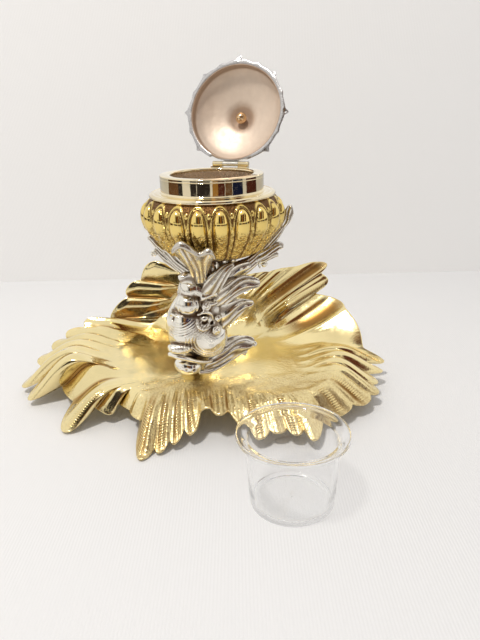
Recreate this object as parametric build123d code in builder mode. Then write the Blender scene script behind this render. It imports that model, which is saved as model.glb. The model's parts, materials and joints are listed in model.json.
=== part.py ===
from build123d import *
import os
from math import atan2, cos, degrees, hypot, pi, radians, sin

# A parcel-gilt silver inkwell. A grotesque dolphin stands head down on a shell-shaped tray and
# carries a gadrooned bowl on its tail. The bowl holds a lined ink well with a hinged, domed lid,
# shown open, and the loose glass liner stands in front of the tray.
# Millimetres, +Z up, origin at the centre of the hidden foot's underside.

# ---- Driving dimensions ----------------------------------------------------------------------
WELL_X, WELL_Y = 10.0, -25.0        # axis of the bowl and the ink well
WELL_R = 19.2                       # bore that receives the glass liner
RIM_Z = 121.0                       # top of the collar
COLLAR_R = 24.0                     # outside of the collar
BOWL_BASE_Z = 82.0
BOWL_TOP_Z = 110.6
BOWL_WALL = 1.2
BOWL_FLOOR_Z = 83.2                 # inside of the bowl's flat bottom
BOWL_FOOT_Z = 79.0                  # the bowl's foot stands here, on the dolphin's neck
BOWL_SCREW_R = 1.5
BOWL_SCREW_Z = 69.0                 # lower end of the screw
SHOULDER_R = 29.4                   # outside of the moulding between the bowl and the collar
SHOULDER_H = 2.4
COLLAR_WALL = 1.2
SLEEVE_WALL = 1.0
SLEEVE_BASE_Z = 86.0
RIM_PLATE = 1.6                     # thickness of the flat ring around the mouth

PAN_Z = 18.0                        # top of the tray's flat floor
SHEET = 2.0                         # tray thickness, measured along Z
PAN_R = 31.0                        # the floor is flat out to here
TRAY_GRID = 9.0                     # spacing of the tray surface's control points

FOOT_R = 27.0
FOOT_WALL_R = 24.5
FOOT_LEDGE_R = 19.6                 # inner edge of the ledge that the base plate is screwed to
FOOT_LEDGE_TOP = 3.0
FOOT_TOP = PAN_Z - SHEET - 0.05     # the foot meets the tray's underside
BASE_PLATE_R = 23.9
BASE_PLATE_T = 1.2
SCREW_CIRCLE_R = 21.6
SCREW_COUNT = 3
SCREW_R = 0.9
SCREW_L = 2.8

STUD_X, STUD_Y = -2.0, -16.0        # threaded stud that holds the dolphin to the tray
STUD_R = 2.0
HOLE_PLAY = 0.05
STUD_BASE_Z = 9.5
STUD_L = 18.4
WASHER_R = 4.5
WASHER_T = 1.2
NUT_R = 3.5                         # from the axis to each flat
NUT_T = 3.2

HINGE_TURN = 20.0                   # the hinge sits this far clockwise of +Y, seen from above
HINGE_REACH = 25.4                  # hinge axis to well axis
HINGE_Z = 122.3
KNUCKLE_R = 1.2
PIN_R = 0.5
PIN_PLAY = 0.06
LID_KNUCKLE = 8.0                   # length of the lid's middle knuckle
COLLAR_KNUCKLE = 5.3                # length of each outer knuckle
KNUCKLE_GAP = 0.15
LID_OPENING = 110.0                 # degrees that the lid is swung open, at rest on its stop
LID_SEAT_Z = 121.3                  # height of the closed lid's lower edge
HINGE_PLATE_Z = 118.6               # underside of the plate that carries the outer knuckles
HINGE_PLATE_T = 2.7

LID_INNER_R = 23.0
LID_WALL = 1.0
SKIRT_H = 3.5
LID_SHOULDER_Z = 9.6                # where the dome meets its central boss, above the lid's edge
LID_BOSS_R = 7.6
LID_BOSS_Z = 13.6
BORDER_R = 25.4
TOOTH_R = 27.8
TOOTH_COUNT = 8
TOOTH_HALF_WIDTH = 3.2
BORDER_T = 1.3
FINIAL_TOP = 28.0
FINIAL_STEM_R = 1.0
BALL_NUT_R = 2.5

LINER_X, LINER_Y = 41.0, -104.2     # the glass liner stands here, beside the tray
LINER_H = 32.2
LINER_FLANGE_R = 22.5
LINER_FLANGE_T = 2.0
LINER_TOP_R = 18.6
LINER_BASE_R = 16.6
GLASS = 2.0

# Tips and notches of the tray's outline: degrees from +X, and distance from the origin.
RIM_OUTLINE = [
    (1, 105), (4, 96), (11, 85), (20, 78), (26, 82), (34, 89), (40, 77), (50, 61), (65, 50),
    (85, 46), (105, 49), (116, 56), (124, 62), (137, 62), (145, 66), (149, 76), (158, 87),
    (166, 91), (174, 97), (183, 103), (187, 103), (192, 87), (194, 95), (197, 93), (199, 78),
    (210, 75), (213, 84), (218, 82), (219, 68), (227, 64), (243, 62), (247, 77), (251, 79),
    (259, 71), (266, 66), (267, 58), (277, 57), (282, 64), (289, 73), (301, 75), (305, 81),
    (308, 89), (315, 85), (322, 84), (334, 94), (342, 97), (348, 96), (351, 91), (355, 100),
]
# How the sheet lies along each direction: degrees, reach, height there, and the shoulder that
# the sheet climbs over before it droops to its edge.
RIM_SWEEP = [
    (0, 98, 14, 7), (20, 78, 44, 0), (34, 88, 55, 0), (55, 58, 51, 0), (80, 48, 50, 0),
    (105, 49, 53, 0), (124, 62, 56, 0), (145, 66, 38, 0), (165, 90, 16, 6), (186, 102, 4, 9),
    (205, 82, 6, 9), (218, 80, 4, 8), (235, 66, 9, 4), (250, 78, 3, 5), (270, 59, 17, 0),
    (290, 72, 8, 3), (307, 86, 8, 4), (335, 92, 9, 5), (360, 98, 14, 7),
]

# Cross-sections of the dolphin's body, from the chin up: height, centre x, centre y, half widths.
DOLPHIN_SECTIONS = [
    (18, -3, -19, 9, 9), (28, -1, -23, 12, 12), (42, 0, -27, 12.5, 14.5), (56, 0, -29, 12.5, 15.5),
    (68, 2, -28, 9, 11), (74, 7, -26, 9, 9), (79, 10, -25, 10, 10),
]

# ---- Shared planes and axes ------------------------------------------------------------------
well_side = Plane(origin=(WELL_X, WELL_Y, 0), x_dir=(1, 0, 0), z_dir=(0, -1, 0))
well_axis = Axis((WELL_X, WELL_Y, 0), (0, 0, 1))
liner_side = Plane(origin=(LINER_X, LINER_Y, 0), x_dir=(1, 0, 0), z_dir=(0, -1, 0))
liner_axis = Axis((LINER_X, LINER_Y, 0), (0, 0, 1))

turn = radians(HINGE_TURN)
hinge_along = Vector(cos(turn), -sin(turn), 0)
hinge_out = Vector(sin(turn), cos(turn), 0)
hinge_point = Vector(WELL_X, WELL_Y, HINGE_Z) + hinge_out * HINGE_REACH
hinge_end = Plane(origin=hinge_point, x_dir=hinge_out, z_dir=hinge_along)
collar_plane = Plane(origin=(WELL_X, WELL_Y, 0), x_dir=hinge_along, z_dir=(0, 0, 1))

swing = radians(LID_OPENING)
lid_up = Vector(0, 0, 1) * cos(swing) + hinge_out * sin(swing)
lid_back = hinge_out * cos(swing) - Vector(0, 0, 1) * sin(swing)
lid_origin = hinge_point - lid_back * HINGE_REACH + lid_up * (LID_SEAT_Z - HINGE_Z)
lid_plane = Plane(origin=lid_origin, x_dir=hinge_along, z_dir=lid_up)
lid_side = Plane(origin=lid_origin, x_dir=hinge_along, z_dir=-lid_back)
lid_axis = Axis(lid_origin, lid_up)
swung_end = Plane(origin=hinge_point, x_dir=lid_back, z_dir=hinge_along)


def sweep_at(angle):
    """Reach, edge height and shoulder of the tray in one direction, between the listed ones."""
    for low, high in zip(RIM_SWEEP, RIM_SWEEP[1:]):
        if low[0] <= angle <= high[0]:
            part = (angle - low[0]) / (high[0] - low[0])
            ease = part * part * (3 - 2 * part)
            return [a + (b - a) * ease for a, b in zip(low[1:], high[1:])]


def tray_height(x, y):
    """Height of the tray's upper face: flat pan, shoulder, then the rising or drooping edge."""
    reach, edge, shoulder = sweep_at(degrees(atan2(y, x)) % 360)
    out = min(max((hypot(x, y) - PAN_R) / (reach - PAN_R), 0), 1)
    rise = out * out * (3 - 2 * out)
    return PAN_Z + (edge - PAN_Z) * rise + shoulder * sin(pi * out) ** 2


def save(part, name):
    """Label one finished piece and write it to its own file."""
    part.label = name
    export_step(part, f"parts/{name}.step")


os.makedirs("parts", exist_ok=True)

# ---- Tray and foot ---------------------------------------------------------------------------
columns = [TRAY_GRID * i for i in range(-13, 14)]
rows = [TRAY_GRID * i for i in range(-11, 9)]
tray_points = [[Vector(x, y, tray_height(x, y) - SHEET) for y in rows] for x in columns]
tray_underside = Face.make_surface_from_array_of_points(tray_points)
outline = [(reach * cos(radians(angle)), reach * sin(radians(angle))) for angle, reach in RIM_OUTLINE]

with BuildPart() as shell_tray:
    with BuildSketch():
        with BuildLine():
            Polyline(*outline, close=True)
        make_face()
    extrude(amount=80)
    extrude(tray_underside, amount=SHEET, dir=(0, 0, 1), mode=Mode.INTERSECT)
    with Locations((STUD_X, STUD_Y, PAN_Z)):
        Hole(STUD_R + HOLE_PLAY)
save(shell_tray.part, "shell_tray")

with BuildPart() as foot_ring:
    with BuildSketch(Plane.XZ):
        with BuildLine():
            Polyline(
                (FOOT_WALL_R, 0), (FOOT_R, 0), (FOOT_R, 1.6), (FOOT_R - 1.2, 4), (FOOT_R - 1.2, 13),
                (FOOT_R + 1, 14.6), (FOOT_R + 1, FOOT_TOP), (FOOT_WALL_R, FOOT_TOP),
                (FOOT_WALL_R, FOOT_LEDGE_TOP), (FOOT_LEDGE_R, FOOT_LEDGE_TOP),
                (FOOT_LEDGE_R, BASE_PLATE_T), (FOOT_WALL_R, BASE_PLATE_T), close=True,
            )
        make_face()
    revolve(axis=Axis.Z)
    with Locations(Plane.XY.offset(FOOT_LEDGE_TOP)):
        with PolarLocations(SCREW_CIRCLE_R, SCREW_COUNT):
            Hole(SCREW_R, depth=FOOT_LEDGE_TOP - BASE_PLATE_T + HOLE_PLAY)
save(foot_ring.part, "foot_ring")

with BuildPart() as base_plate:
    with BuildSketch():
        Circle(BASE_PLATE_R)
    extrude(amount=BASE_PLATE_T)
    with Locations(Plane.XY.rotated((180, 0, 0))):
        with PolarLocations(SCREW_CIRCLE_R, SCREW_COUNT):
            CounterSinkHole(SCREW_R, 2 * SCREW_R, depth=BASE_PLATE_T)
save(base_plate.part, "base_plate")

with BuildPart() as base_screws:
    with PolarLocations(SCREW_CIRCLE_R, SCREW_COUNT):
        Cylinder(SCREW_R, SCREW_L, align=(Align.CENTER, Align.CENTER, Align.MIN))
        Cone(2 * SCREW_R, SCREW_R, SCREW_R, align=(Align.CENTER, Align.CENTER, Align.MIN))
save(base_screws.part, "base_screws")

# ---- Dolphin and its leaves ------------------------------------------------------------------
with BuildPart() as dolphin_body:
    for height, x, y, half_x, half_y in DOLPHIN_SECTIONS:
        with BuildSketch(Plane.XY.offset(height)):
            with Locations((x, y)):
                Ellipse(half_x, half_y)
    loft()
    with Locations(Plane((STUD_X, STUD_Y, PAN_Z), z_dir=(0, 0, -1))):
        Hole(STUD_R + HOLE_PLAY, depth=10)
    with Locations((WELL_X, WELL_Y, BOWL_FOOT_Z)):
        Hole(BOWL_SCREW_R + HOLE_PLAY, depth=BOWL_FOOT_Z - BOWL_SCREW_Z + 1)
save(dolphin_body.part, "dolphin_body")


def leaf(name, plane, points, thickness):
    """A cast leaf or fin: a pointed plate that stands against the dolphin's body."""
    with BuildPart() as plate:
        with BuildSketch(plane):
            with BuildLine():
                Polyline(*points, close=True)
            make_face()
        extrude(amount=thickness / 2, both=True)
        add(dolphin_body.part, mode=Mode.SUBTRACT)
    save(plate.part.solids().sort_by(SortBy.VOLUME)[-1], name)


def front_plane(y):
    return Plane(origin=(0, y, 0), x_dir=(1, 0, 0), z_dir=(0, -1, 0))


def side_plane(x):
    return Plane(origin=(x, 0, 0), x_dir=(0, 1, 0), z_dir=(1, 0, 0))


leaf("crest_leaf", side_plane(2.5),
     [(-36, 66), (-45, 72), (-52, 82), (-58, 93), (-55.8, 94), (-51, 85), (-43, 77), (-32, 74)], 12)
leaf("gill_fin_right", front_plane(-29.5),
     [(9, 44), (21.5, 49), (19, 53), (28, 54.5), (24, 60), (31.8, 66), (23, 71), (18, 77), (12, 70)], 4)
leaf("gill_fin_left", side_plane(-6),
     [(-18, 44), (-8, 44), (-2, 50), (-6, 54), (1, 60), (-6, 66), (-12, 71), (-20, 66)], 3)
leaf("pectoral_fin_right", front_plane(-23),
     [(4, 19.5), (14, 21), (23, 26.5), (29.3, 32), (28, 36), (20, 37), (12, 33), (6, 30)], 6)
leaf("pectoral_fin_left", side_plane(-7),
     [(-16, 19.5), (-4, 20), (4, 25), (8, 32), (2, 36), (-8, 33), (-16, 30)], 4)
leaf("tail_frond_right", front_plane(-25),
     [(12, 73), (26, 76), (33, 77), (36, 81), (42, 88), (46, 96), (48, 103), (46, 105), (44, 98),
      (39.5, 91), (34, 84.5), (26, 80), (14, 78)], 3)
leaf("tail_frond_left", front_plane(-25),
     [(4, 70), (-9, 75), (-16, 79), (-20.5, 83), (-23, 91), (-20.5, 92), (-18, 84.5), (-13, 81),
      (2, 76.5)], 3)
leaf("tail_frond_back", side_plane(10),
     [(-18, 73), (-6, 76), (2, 81), (7, 90), (5, 91), (-1.5, 84), (-7, 80), (-18, 78)], 8)

with BuildPart() as dolphin_stud:
    with Locations((STUD_X, STUD_Y, STUD_BASE_Z)):
        Cylinder(STUD_R, STUD_L, align=(Align.CENTER, Align.CENTER, Align.MIN))
save(dolphin_stud.part, "dolphin_stud")

with BuildPart() as stud_washer:
    with BuildSketch(Plane.XY.offset(FOOT_TOP - WASHER_T)):
        with Locations((STUD_X, STUD_Y)):
            Circle(WASHER_R)
            Circle(STUD_R + HOLE_PLAY, mode=Mode.SUBTRACT)
    extrude(amount=WASHER_T)
save(stud_washer.part, "stud_washer")

with BuildPart() as stud_nut:
    with BuildSketch(Plane.XY.offset(FOOT_TOP - WASHER_T - NUT_T)):
        with Locations((STUD_X, STUD_Y)):
            RegularPolygon(NUT_R, 6, major_radius=False)
            Circle(STUD_R + HOLE_PLAY, mode=Mode.SUBTRACT)
    extrude(amount=NUT_T)
save(stud_nut.part, "stud_nut")

# ---- Bowl and ink well -----------------------------------------------------------------------
screw_hole_r = BOWL_SCREW_R + HOLE_PLAY

with BuildPart() as bowl_foot:
    with BuildSketch(well_side):
        with BuildLine():
            Polyline(
                (screw_hole_r, BOWL_FOOT_Z), (9.5, BOWL_FOOT_Z), (8, BOWL_FOOT_Z + 1.4),
                (11, BOWL_BASE_Z), (screw_hole_r, BOWL_BASE_Z), close=True,
            )
        make_face()
    revolve(axis=well_axis)
save(bowl_foot.part, "bowl_foot")

bowl_outside = [(14.7, 82.6), (21.6, 85), (27, 90.5), (31.4, 96.5), (33, 103), (32.2, 107.5),
                (30, BOWL_TOP_Z)]
bowl_inside = []
for r, z in bowl_outside[:-1]:
    steep = (z - BOWL_BASE_Z) / (BOWL_TOP_Z - BOWL_BASE_Z)
    bowl_inside.append((r - BOWL_WALL, max(z + 0.7 * BOWL_WALL * (1 - steep), BOWL_FLOOR_Z)))
bowl_inside.append((bowl_outside[-1][0] - BOWL_WALL, BOWL_TOP_Z))

with BuildPart() as gadroon_bowl:
    with BuildSketch(well_side):
        with BuildLine():
            Polyline((screw_hole_r, BOWL_BASE_Z), (12, BOWL_BASE_Z), bowl_outside[0])
            Spline(*bowl_outside)
            Line(bowl_outside[-1], bowl_inside[-1])
            Spline(*reversed(bowl_inside))
            Polyline(bowl_inside[0], (screw_hole_r, BOWL_FLOOR_Z), (screw_hole_r, BOWL_BASE_Z))
        make_face()
    revolve(axis=well_axis)
save(gadroon_bowl.part, "gadroon_bowl")

screw_head_z = BOWL_FLOOR_Z + HOLE_PLAY
with BuildPart() as bowl_screw:
    with BuildSketch(well_side):
        with BuildLine():
            Polyline(
                (0, BOWL_SCREW_Z), (BOWL_SCREW_R, BOWL_SCREW_Z), (BOWL_SCREW_R, screw_head_z),
                (3.2, screw_head_z), (3.2, screw_head_z + 1.15), (2.4, screw_head_z + 1.95),
                (0, screw_head_z + 1.95), close=True,
            )
        make_face()
    revolve(axis=well_axis)
save(bowl_screw.part, "bowl_screw")

with BuildPart() as well_sleeve:
    with BuildSketch(Plane.XY.offset(SLEEVE_BASE_Z)):
        with Locations((WELL_X, WELL_Y)):
            Circle(WELL_R + SLEEVE_WALL)
    extrude(amount=RIM_Z - RIM_PLATE - SLEEVE_BASE_Z)
    sleeve_top = faces().sort_by(Axis.Z)[-1]
    with Locations((WELL_X, WELL_Y, sleeve_top.center().Z)):
        Hole(WELL_R, depth=RIM_Z - RIM_PLATE - SLEEVE_BASE_Z - SLEEVE_WALL)
save(well_sleeve.part, "well_sleeve")

with BuildPart() as shoulder_ring:
    with BuildSketch(Plane.XY.offset(BOWL_TOP_Z)):
        with Locations((WELL_X, WELL_Y)):
            Circle(SHOULDER_R)
            Circle(COLLAR_R + HOLE_PLAY, mode=Mode.SUBTRACT)
    extrude(amount=SHOULDER_H)
    fillet(edges().filter_by(GeomType.CIRCLE).sort_by(SortBy.RADIUS)[-2:], radius=1.1)
save(shoulder_ring.part, "shoulder_ring")

flare_z = BOWL_TOP_Z + SHOULDER_H
with BuildPart() as collar_drum:
    with BuildSketch(well_side):
        with BuildLine():
            Polyline(
                (COLLAR_R - COLLAR_WALL, BOWL_TOP_Z), (COLLAR_R, BOWL_TOP_Z), (COLLAR_R, flare_z),
                (COLLAR_R + 1, flare_z), (COLLAR_R + 0.3, flare_z + 1), (COLLAR_R, flare_z + 2.2),
                (COLLAR_R, RIM_Z - RIM_PLATE), (COLLAR_R - COLLAR_WALL, RIM_Z - RIM_PLATE), close=True,
            )
        make_face()
    revolve(axis=well_axis)
save(collar_drum.part, "collar_drum")

with BuildPart() as rim_ring:
    with BuildSketch(Plane.XY.offset(RIM_Z - RIM_PLATE)):
        with Locations((WELL_X, WELL_Y)):
            Circle(COLLAR_R)
            Circle(WELL_R, mode=Mode.SUBTRACT)
    extrude(amount=RIM_PLATE)
save(rim_ring.part, "rim_ring")

# ---- Hinge -----------------------------------------------------------------------------------
hinge_half = LID_KNUCKLE / 2 + KNUCKLE_GAP + COLLAR_KNUCKLE

with BuildPart() as collar_hinge_leaf:
    with BuildSketch(collar_plane.offset(HINGE_PLATE_Z)):
        with Locations((0, 23)):
            Rectangle(2 * hinge_half, 6)
        Circle(COLLAR_R, mode=Mode.SUBTRACT)
    extrude(amount=HINGE_PLATE_T)
    with BuildSketch(collar_plane.offset(RIM_Z - 0.4)):
        with Locations((0, 24)):
            Rectangle(LID_KNUCKLE + 2 * KNUCKLE_GAP, 6)
    extrude(amount=2, mode=Mode.SUBTRACT)
    for side in (-1, 1):
        start = side * (LID_KNUCKLE / 2 + KNUCKLE_GAP)
        with BuildSketch(hinge_end.offset(start)):
            Circle(KNUCKLE_R)
        extrude(amount=side * COLLAR_KNUCKLE)
    with BuildSketch(hinge_end.offset(-hinge_half)):
        Circle(PIN_R)
    extrude(amount=2 * hinge_half, mode=Mode.SUBTRACT)
save(collar_hinge_leaf.part, "collar_hinge_leaf")

with BuildPart() as hinge_pin:
    with BuildSketch(hinge_end.offset(-hinge_half)):
        Circle(PIN_R)
    extrude(amount=2 * hinge_half)
save(hinge_pin.part, "hinge_pin")

with BuildPart() as lid_hinge_leaf:
    with BuildSketch(swung_end.offset(-LID_KNUCKLE / 2)):
        Circle(KNUCKLE_R)
        with Locations((-HINGE_REACH / 2 + 11.6, 0.6)):
            Rectangle(2.0, 1.2)
        Circle(PIN_R + PIN_PLAY, mode=Mode.SUBTRACT)
    extrude(amount=LID_KNUCKLE)
    with BuildSketch(lid_plane):
        Circle(LID_INNER_R + LID_WALL)
    extrude(amount=SKIRT_H, mode=Mode.SUBTRACT)
save(lid_hinge_leaf.part, "lid_hinge_leaf")

# ---- Lid -------------------------------------------------------------------------------------
skirt_r = LID_INNER_R + LID_WALL
with BuildPart() as lid_dome:
    with BuildSketch(lid_side):
        with BuildLine():
            Polyline((LID_INNER_R, 0), (skirt_r, 0), (skirt_r, SKIRT_H))
            Spline((skirt_r, SKIRT_H), (17, 8.6), (LID_BOSS_R + LID_WALL, LID_SHOULDER_Z + 1.3))
            Polyline(
                (LID_BOSS_R + LID_WALL, LID_SHOULDER_Z + 1.3), (LID_BOSS_R, LID_BOSS_Z + LID_WALL),
                (FINIAL_STEM_R + HOLE_PLAY, LID_BOSS_Z + LID_WALL), (FINIAL_STEM_R + HOLE_PLAY, LID_BOSS_Z),
                (LID_BOSS_R - 1, LID_BOSS_Z),
                (LID_BOSS_R, LID_SHOULDER_Z),
            )
            Spline((LID_BOSS_R, LID_SHOULDER_Z), (16, 7.2), (LID_INNER_R, SKIRT_H))
            Line((LID_INNER_R, SKIRT_H), (LID_INNER_R, 0))
        make_face()
    revolve(axis=lid_axis)
save(lid_dome.part, "lid_dome")

with BuildPart() as lid_border:
    with BuildSketch(lid_plane):
        Circle(BORDER_R)
        with PolarLocations(0, TOOTH_COUNT, start_angle=90):
            with BuildLine(mode=Mode.PRIVATE) as tooth:
                Polyline(
                    (COLLAR_R, TOOTH_HALF_WIDTH), (TOOTH_R, 0), (COLLAR_R, -TOOTH_HALF_WIDTH), close=True,
                )
            add(make_face(tooth.edges(), mode=Mode.PRIVATE))
        Circle(skirt_r, mode=Mode.SUBTRACT)
        with Locations((0, BORDER_R)):
            Rectangle(2 * hinge_half + 1.4, 10, mode=Mode.SUBTRACT)
    extrude(amount=BORDER_T)
save(lid_border.part, "lid_border")

stem_z = LID_BOSS_Z - 2.6            # the stem's end, inside the ball nut
with BuildPart() as finial_bud:
    with BuildSketch(lid_side):
        with BuildLine():
            Polyline(
                (0, stem_z), (FINIAL_STEM_R, stem_z), (FINIAL_STEM_R, LID_BOSS_Z + LID_WALL),
                (5, LID_BOSS_Z + LID_WALL),
            )
            Spline((5, LID_BOSS_Z + LID_WALL), (2.4, 17), (4.8, 21), (3.2, 25.5), (0, FINIAL_TOP))
            Line((0, FINIAL_TOP), (0, stem_z))
        make_face()
    revolve(axis=lid_axis)
save(finial_bud.part, "finial_bud")

with BuildPart() as finial_nut:
    with BuildSketch(lid_side):
        with Locations((0, LID_BOSS_Z - BALL_NUT_R)):
            Circle(BALL_NUT_R)
        with Locations((-2 * BALL_NUT_R, LID_BOSS_Z - BALL_NUT_R)):
            Rectangle(4 * BALL_NUT_R, 4 * BALL_NUT_R, mode=Mode.SUBTRACT)
        with Locations((0, LID_BOSS_Z)):
            Rectangle(2 * (FINIAL_STEM_R + HOLE_PLAY), 2 * (LID_BOSS_Z - stem_z), mode=Mode.SUBTRACT)
    revolve(axis=lid_axis)
save(finial_nut.part, "finial_nut")

# ---- Glass liner -----------------------------------------------------------------------------
with BuildPart() as glass_liner:
    with BuildSketch(liner_side):
        with BuildLine():
            Polyline(
                (0, 0), (LINER_BASE_R - 1.2, 0), (LINER_BASE_R, 1.2),
                (LINER_TOP_R, LINER_H - LINER_FLANGE_T), (LINER_FLANGE_R, LINER_H - LINER_FLANGE_T),
                (LINER_FLANGE_R, LINER_H),
                (LINER_TOP_R - GLASS, LINER_H), (LINER_BASE_R - GLASS, GLASS), (0, GLASS), close=True,
            )
        make_face()
    revolve(axis=liner_axis)
    fillet(edges().filter_by(GeomType.CIRCLE).sort_by(SortBy.RADIUS)[-2:], radius=0.8)
save(glass_liner.part, "glass_liner")
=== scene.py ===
import json
import math

import bmesh
import bpy
import numpy as np
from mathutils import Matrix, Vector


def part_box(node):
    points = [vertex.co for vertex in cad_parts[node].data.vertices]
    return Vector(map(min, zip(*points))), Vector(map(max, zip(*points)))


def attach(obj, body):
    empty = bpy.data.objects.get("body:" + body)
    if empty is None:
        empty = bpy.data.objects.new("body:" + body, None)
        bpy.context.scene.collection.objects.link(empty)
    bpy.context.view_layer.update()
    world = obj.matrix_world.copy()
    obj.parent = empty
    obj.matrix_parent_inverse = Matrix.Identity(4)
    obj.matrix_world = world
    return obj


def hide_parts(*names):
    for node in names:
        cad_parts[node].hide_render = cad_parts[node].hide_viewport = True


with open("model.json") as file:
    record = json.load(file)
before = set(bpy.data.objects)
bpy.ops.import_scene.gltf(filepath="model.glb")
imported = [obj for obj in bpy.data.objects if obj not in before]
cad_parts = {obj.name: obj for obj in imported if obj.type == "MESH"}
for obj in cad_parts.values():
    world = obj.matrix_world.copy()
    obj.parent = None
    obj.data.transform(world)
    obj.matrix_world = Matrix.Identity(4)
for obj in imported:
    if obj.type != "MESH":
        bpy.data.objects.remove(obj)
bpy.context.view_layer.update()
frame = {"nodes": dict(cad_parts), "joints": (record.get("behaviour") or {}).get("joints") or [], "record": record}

import openvdb
from mathutils import Matrix, Vector

# A parcel-gilt inkwell: gilt shell tray, silver dolphin, gilt gadrooned bowl with a hinged lid,
# and a loose glass liner. Shapes are worked out in millimetres and turned into metres when each
# mesh is made.

MM = 0.001
record = frame["record"]
mounts = {mount["name"]: mount for mount in record["mounts"]}
joints = {joint["name"]: joint for joint in frame["joints"]}

WELL = np.array(mounts["well_bore"]["pos_m"]) / MM
WELL_X, WELL_Y = WELL[0], WELL[1]
WELL_R = mounts["well_bore"]["dims"]["r_mm"]
HINGE = np.array(joints["lid_hinge"]["pos_m"]) / MM
HINGE_ALONG = np.array(joints["lid_hinge"]["axis"])
LID_TURN = math.radians(joints["lid_hinge"]["range_deg"][1])


def node_box(name):
    """Lowest and highest corner of a CAD node, in millimetres."""
    low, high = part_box(name)
    return np.array(low) / MM, np.array(high) / MM


RIM_TOP = node_box("rim_ring")[1][2]
BOWL_LOW, BOWL_HIGH = node_box("gadroon_bowl")[0][2], node_box("gadroon_bowl")[1][2]
PAN_Z = 18.0


# ---- Mesh helpers ----------------------------------------------------------------------------
def unit(vector):
    vector = np.asarray(vector, float)
    return vector / np.linalg.norm(vector, axis=-1, keepdims=True)


def add_piece(name, points, faces, body, material, replaces=(), relief=None, worked=None):
    """Make one smooth-shaded mesh from points in millimetres and quads or triangles.

    relief is 1 on high places and 0 in the recesses, where the material paints shade; worked is 1
    where the metal is punched. Each is one number for the whole piece, or one for each point.
    """
    points = np.asarray(points, float)
    faces = np.asarray(faces, np.int32)
    corners = faces.shape[1]
    mesh = bpy.data.meshes.new(name)
    mesh.vertices.add(len(points))
    mesh.vertices.foreach_set("co", (points * MM).astype(np.float32).ravel())
    mesh.loops.add(faces.size)
    mesh.loops.foreach_set("vertex_index", faces.ravel())
    mesh.polygons.add(len(faces))
    mesh.polygons.foreach_set("loop_start", np.arange(0, faces.size, corners, dtype=np.int32))
    mesh.polygons.foreach_set("use_smooth", np.ones(len(faces), bool))
    mesh.update(calc_edges=True)
    for key, value in (("relief", relief), ("worked", worked)):
        if value is not None:
            layer = mesh.attributes.new(key, "FLOAT", "POINT")
            layer.data.foreach_set("value", np.full(len(points), np.ravel(value), np.float32))
    mesh.materials.append(material)
    mesh.validate()
    piece = bpy.data.objects.new(name, mesh)
    bpy.context.scene.collection.objects.link(piece)
    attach(piece, body)
    if replaces:
        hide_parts(*replaces)
    return piece


def grid_faces(rows, columns, close_rows=True, close_columns=False, start=0):
    """Quads of a rows by columns grid of points, wrapping round where asked."""
    row = np.arange(rows if close_rows else rows - 1)
    column = np.arange(columns if close_columns else columns - 1)
    i, j = np.meshgrid(row, column, indexing="ij")
    following_i, following_j = (i + 1) % rows, (j + 1) % columns
    quads = [i * columns + j, following_i * columns + j,
             following_i * columns + following_j, i * columns + following_j]
    return np.stack(quads, -1).reshape(-1, 4) + start


def spline(points, count):
    """A smooth line through given points, sampled evenly by parameter."""
    points = np.asarray(points, float)
    padded = np.vstack([2 * points[0] - points[1], points, 2 * points[-1] - points[-2]])
    spans = len(points) - 1
    t = np.linspace(0, spans, count)
    i = np.minimum(t.astype(int), spans - 1)
    f = (t - i)[:, None]
    a, b, c, d = (padded[i + k] for k in range(4))
    return 0.5 * (2 * b + (c - a) * f + (2 * a - 5 * b + 4 * c - d) * f**2 + (3 * b - a - 3 * c + d) * f**3)


def smooth(x, low, high):
    """0 below low, 1 above high, eased between."""
    t = np.clip((x - low) / (high - low), 0, 1)
    return t * t * (3 - 2 * t)


def waves(seed, *coordinates):
    """Gentle repeatable unevenness, between about -1 and 1, from a few fixed sine waves."""
    total = 0
    for n in range(5):
        phase = sum(c * math.sin(seed * 1.7 + n * 2.3 + k * 1.9) * (1 + 0.6 * n)
                    for k, c in enumerate(coordinates))
        total = total + np.sin(phase + seed + n * 1.3) / (1 + n)
    return total / 2.3


def circle(steps):
    """Evenly spaced angles all the way round."""
    return np.arange(steps) * 2 * math.pi / steps


def around_axis(angle, radius, height):
    """Points in rows round the third axis, from one profile or from a profile for each angle."""
    shape = (len(angle), np.shape(radius)[-1])
    radius, height = np.broadcast_to(radius, shape), np.broadcast_to(height, shape)
    return np.stack([radius * np.cos(angle)[:, None], radius * np.sin(angle)[:, None], height], -1)


def unit_bead(around, along):
    """A ball of radius 1, in rows round its third axis."""
    tilt = np.linspace(0.05, math.pi - 0.05, along)
    return around_axis(circle(around), np.sin(tilt), np.cos(tilt))


def spiral(centre, normal, reference, size, heart, turns, start, steps):
    """A flat line wound outwards from heart * size to size, and how far along it each point is."""
    side = unit(np.cross(normal, reference))
    rise = np.cross(normal, side)
    t = np.linspace(0, 1, steps)
    angle = start + t * turns * 2 * math.pi
    radius = size * (heart + (1 - heart) * t)
    flat = (np.cos(angle) * radius)[:, None] * side + (np.sin(angle) * radius)[:, None] * rise
    return np.array(centre) + flat, t


# ---- Materials -------------------------------------------------------------------------------
def rgb(red, green, blue):
    return (red, green, blue, 1.0)


def dimmed(colour, share):
    """A colour with each channel brought down to a share of itself."""
    return rgb(*[share * channel for channel in colour[:3]])


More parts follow.
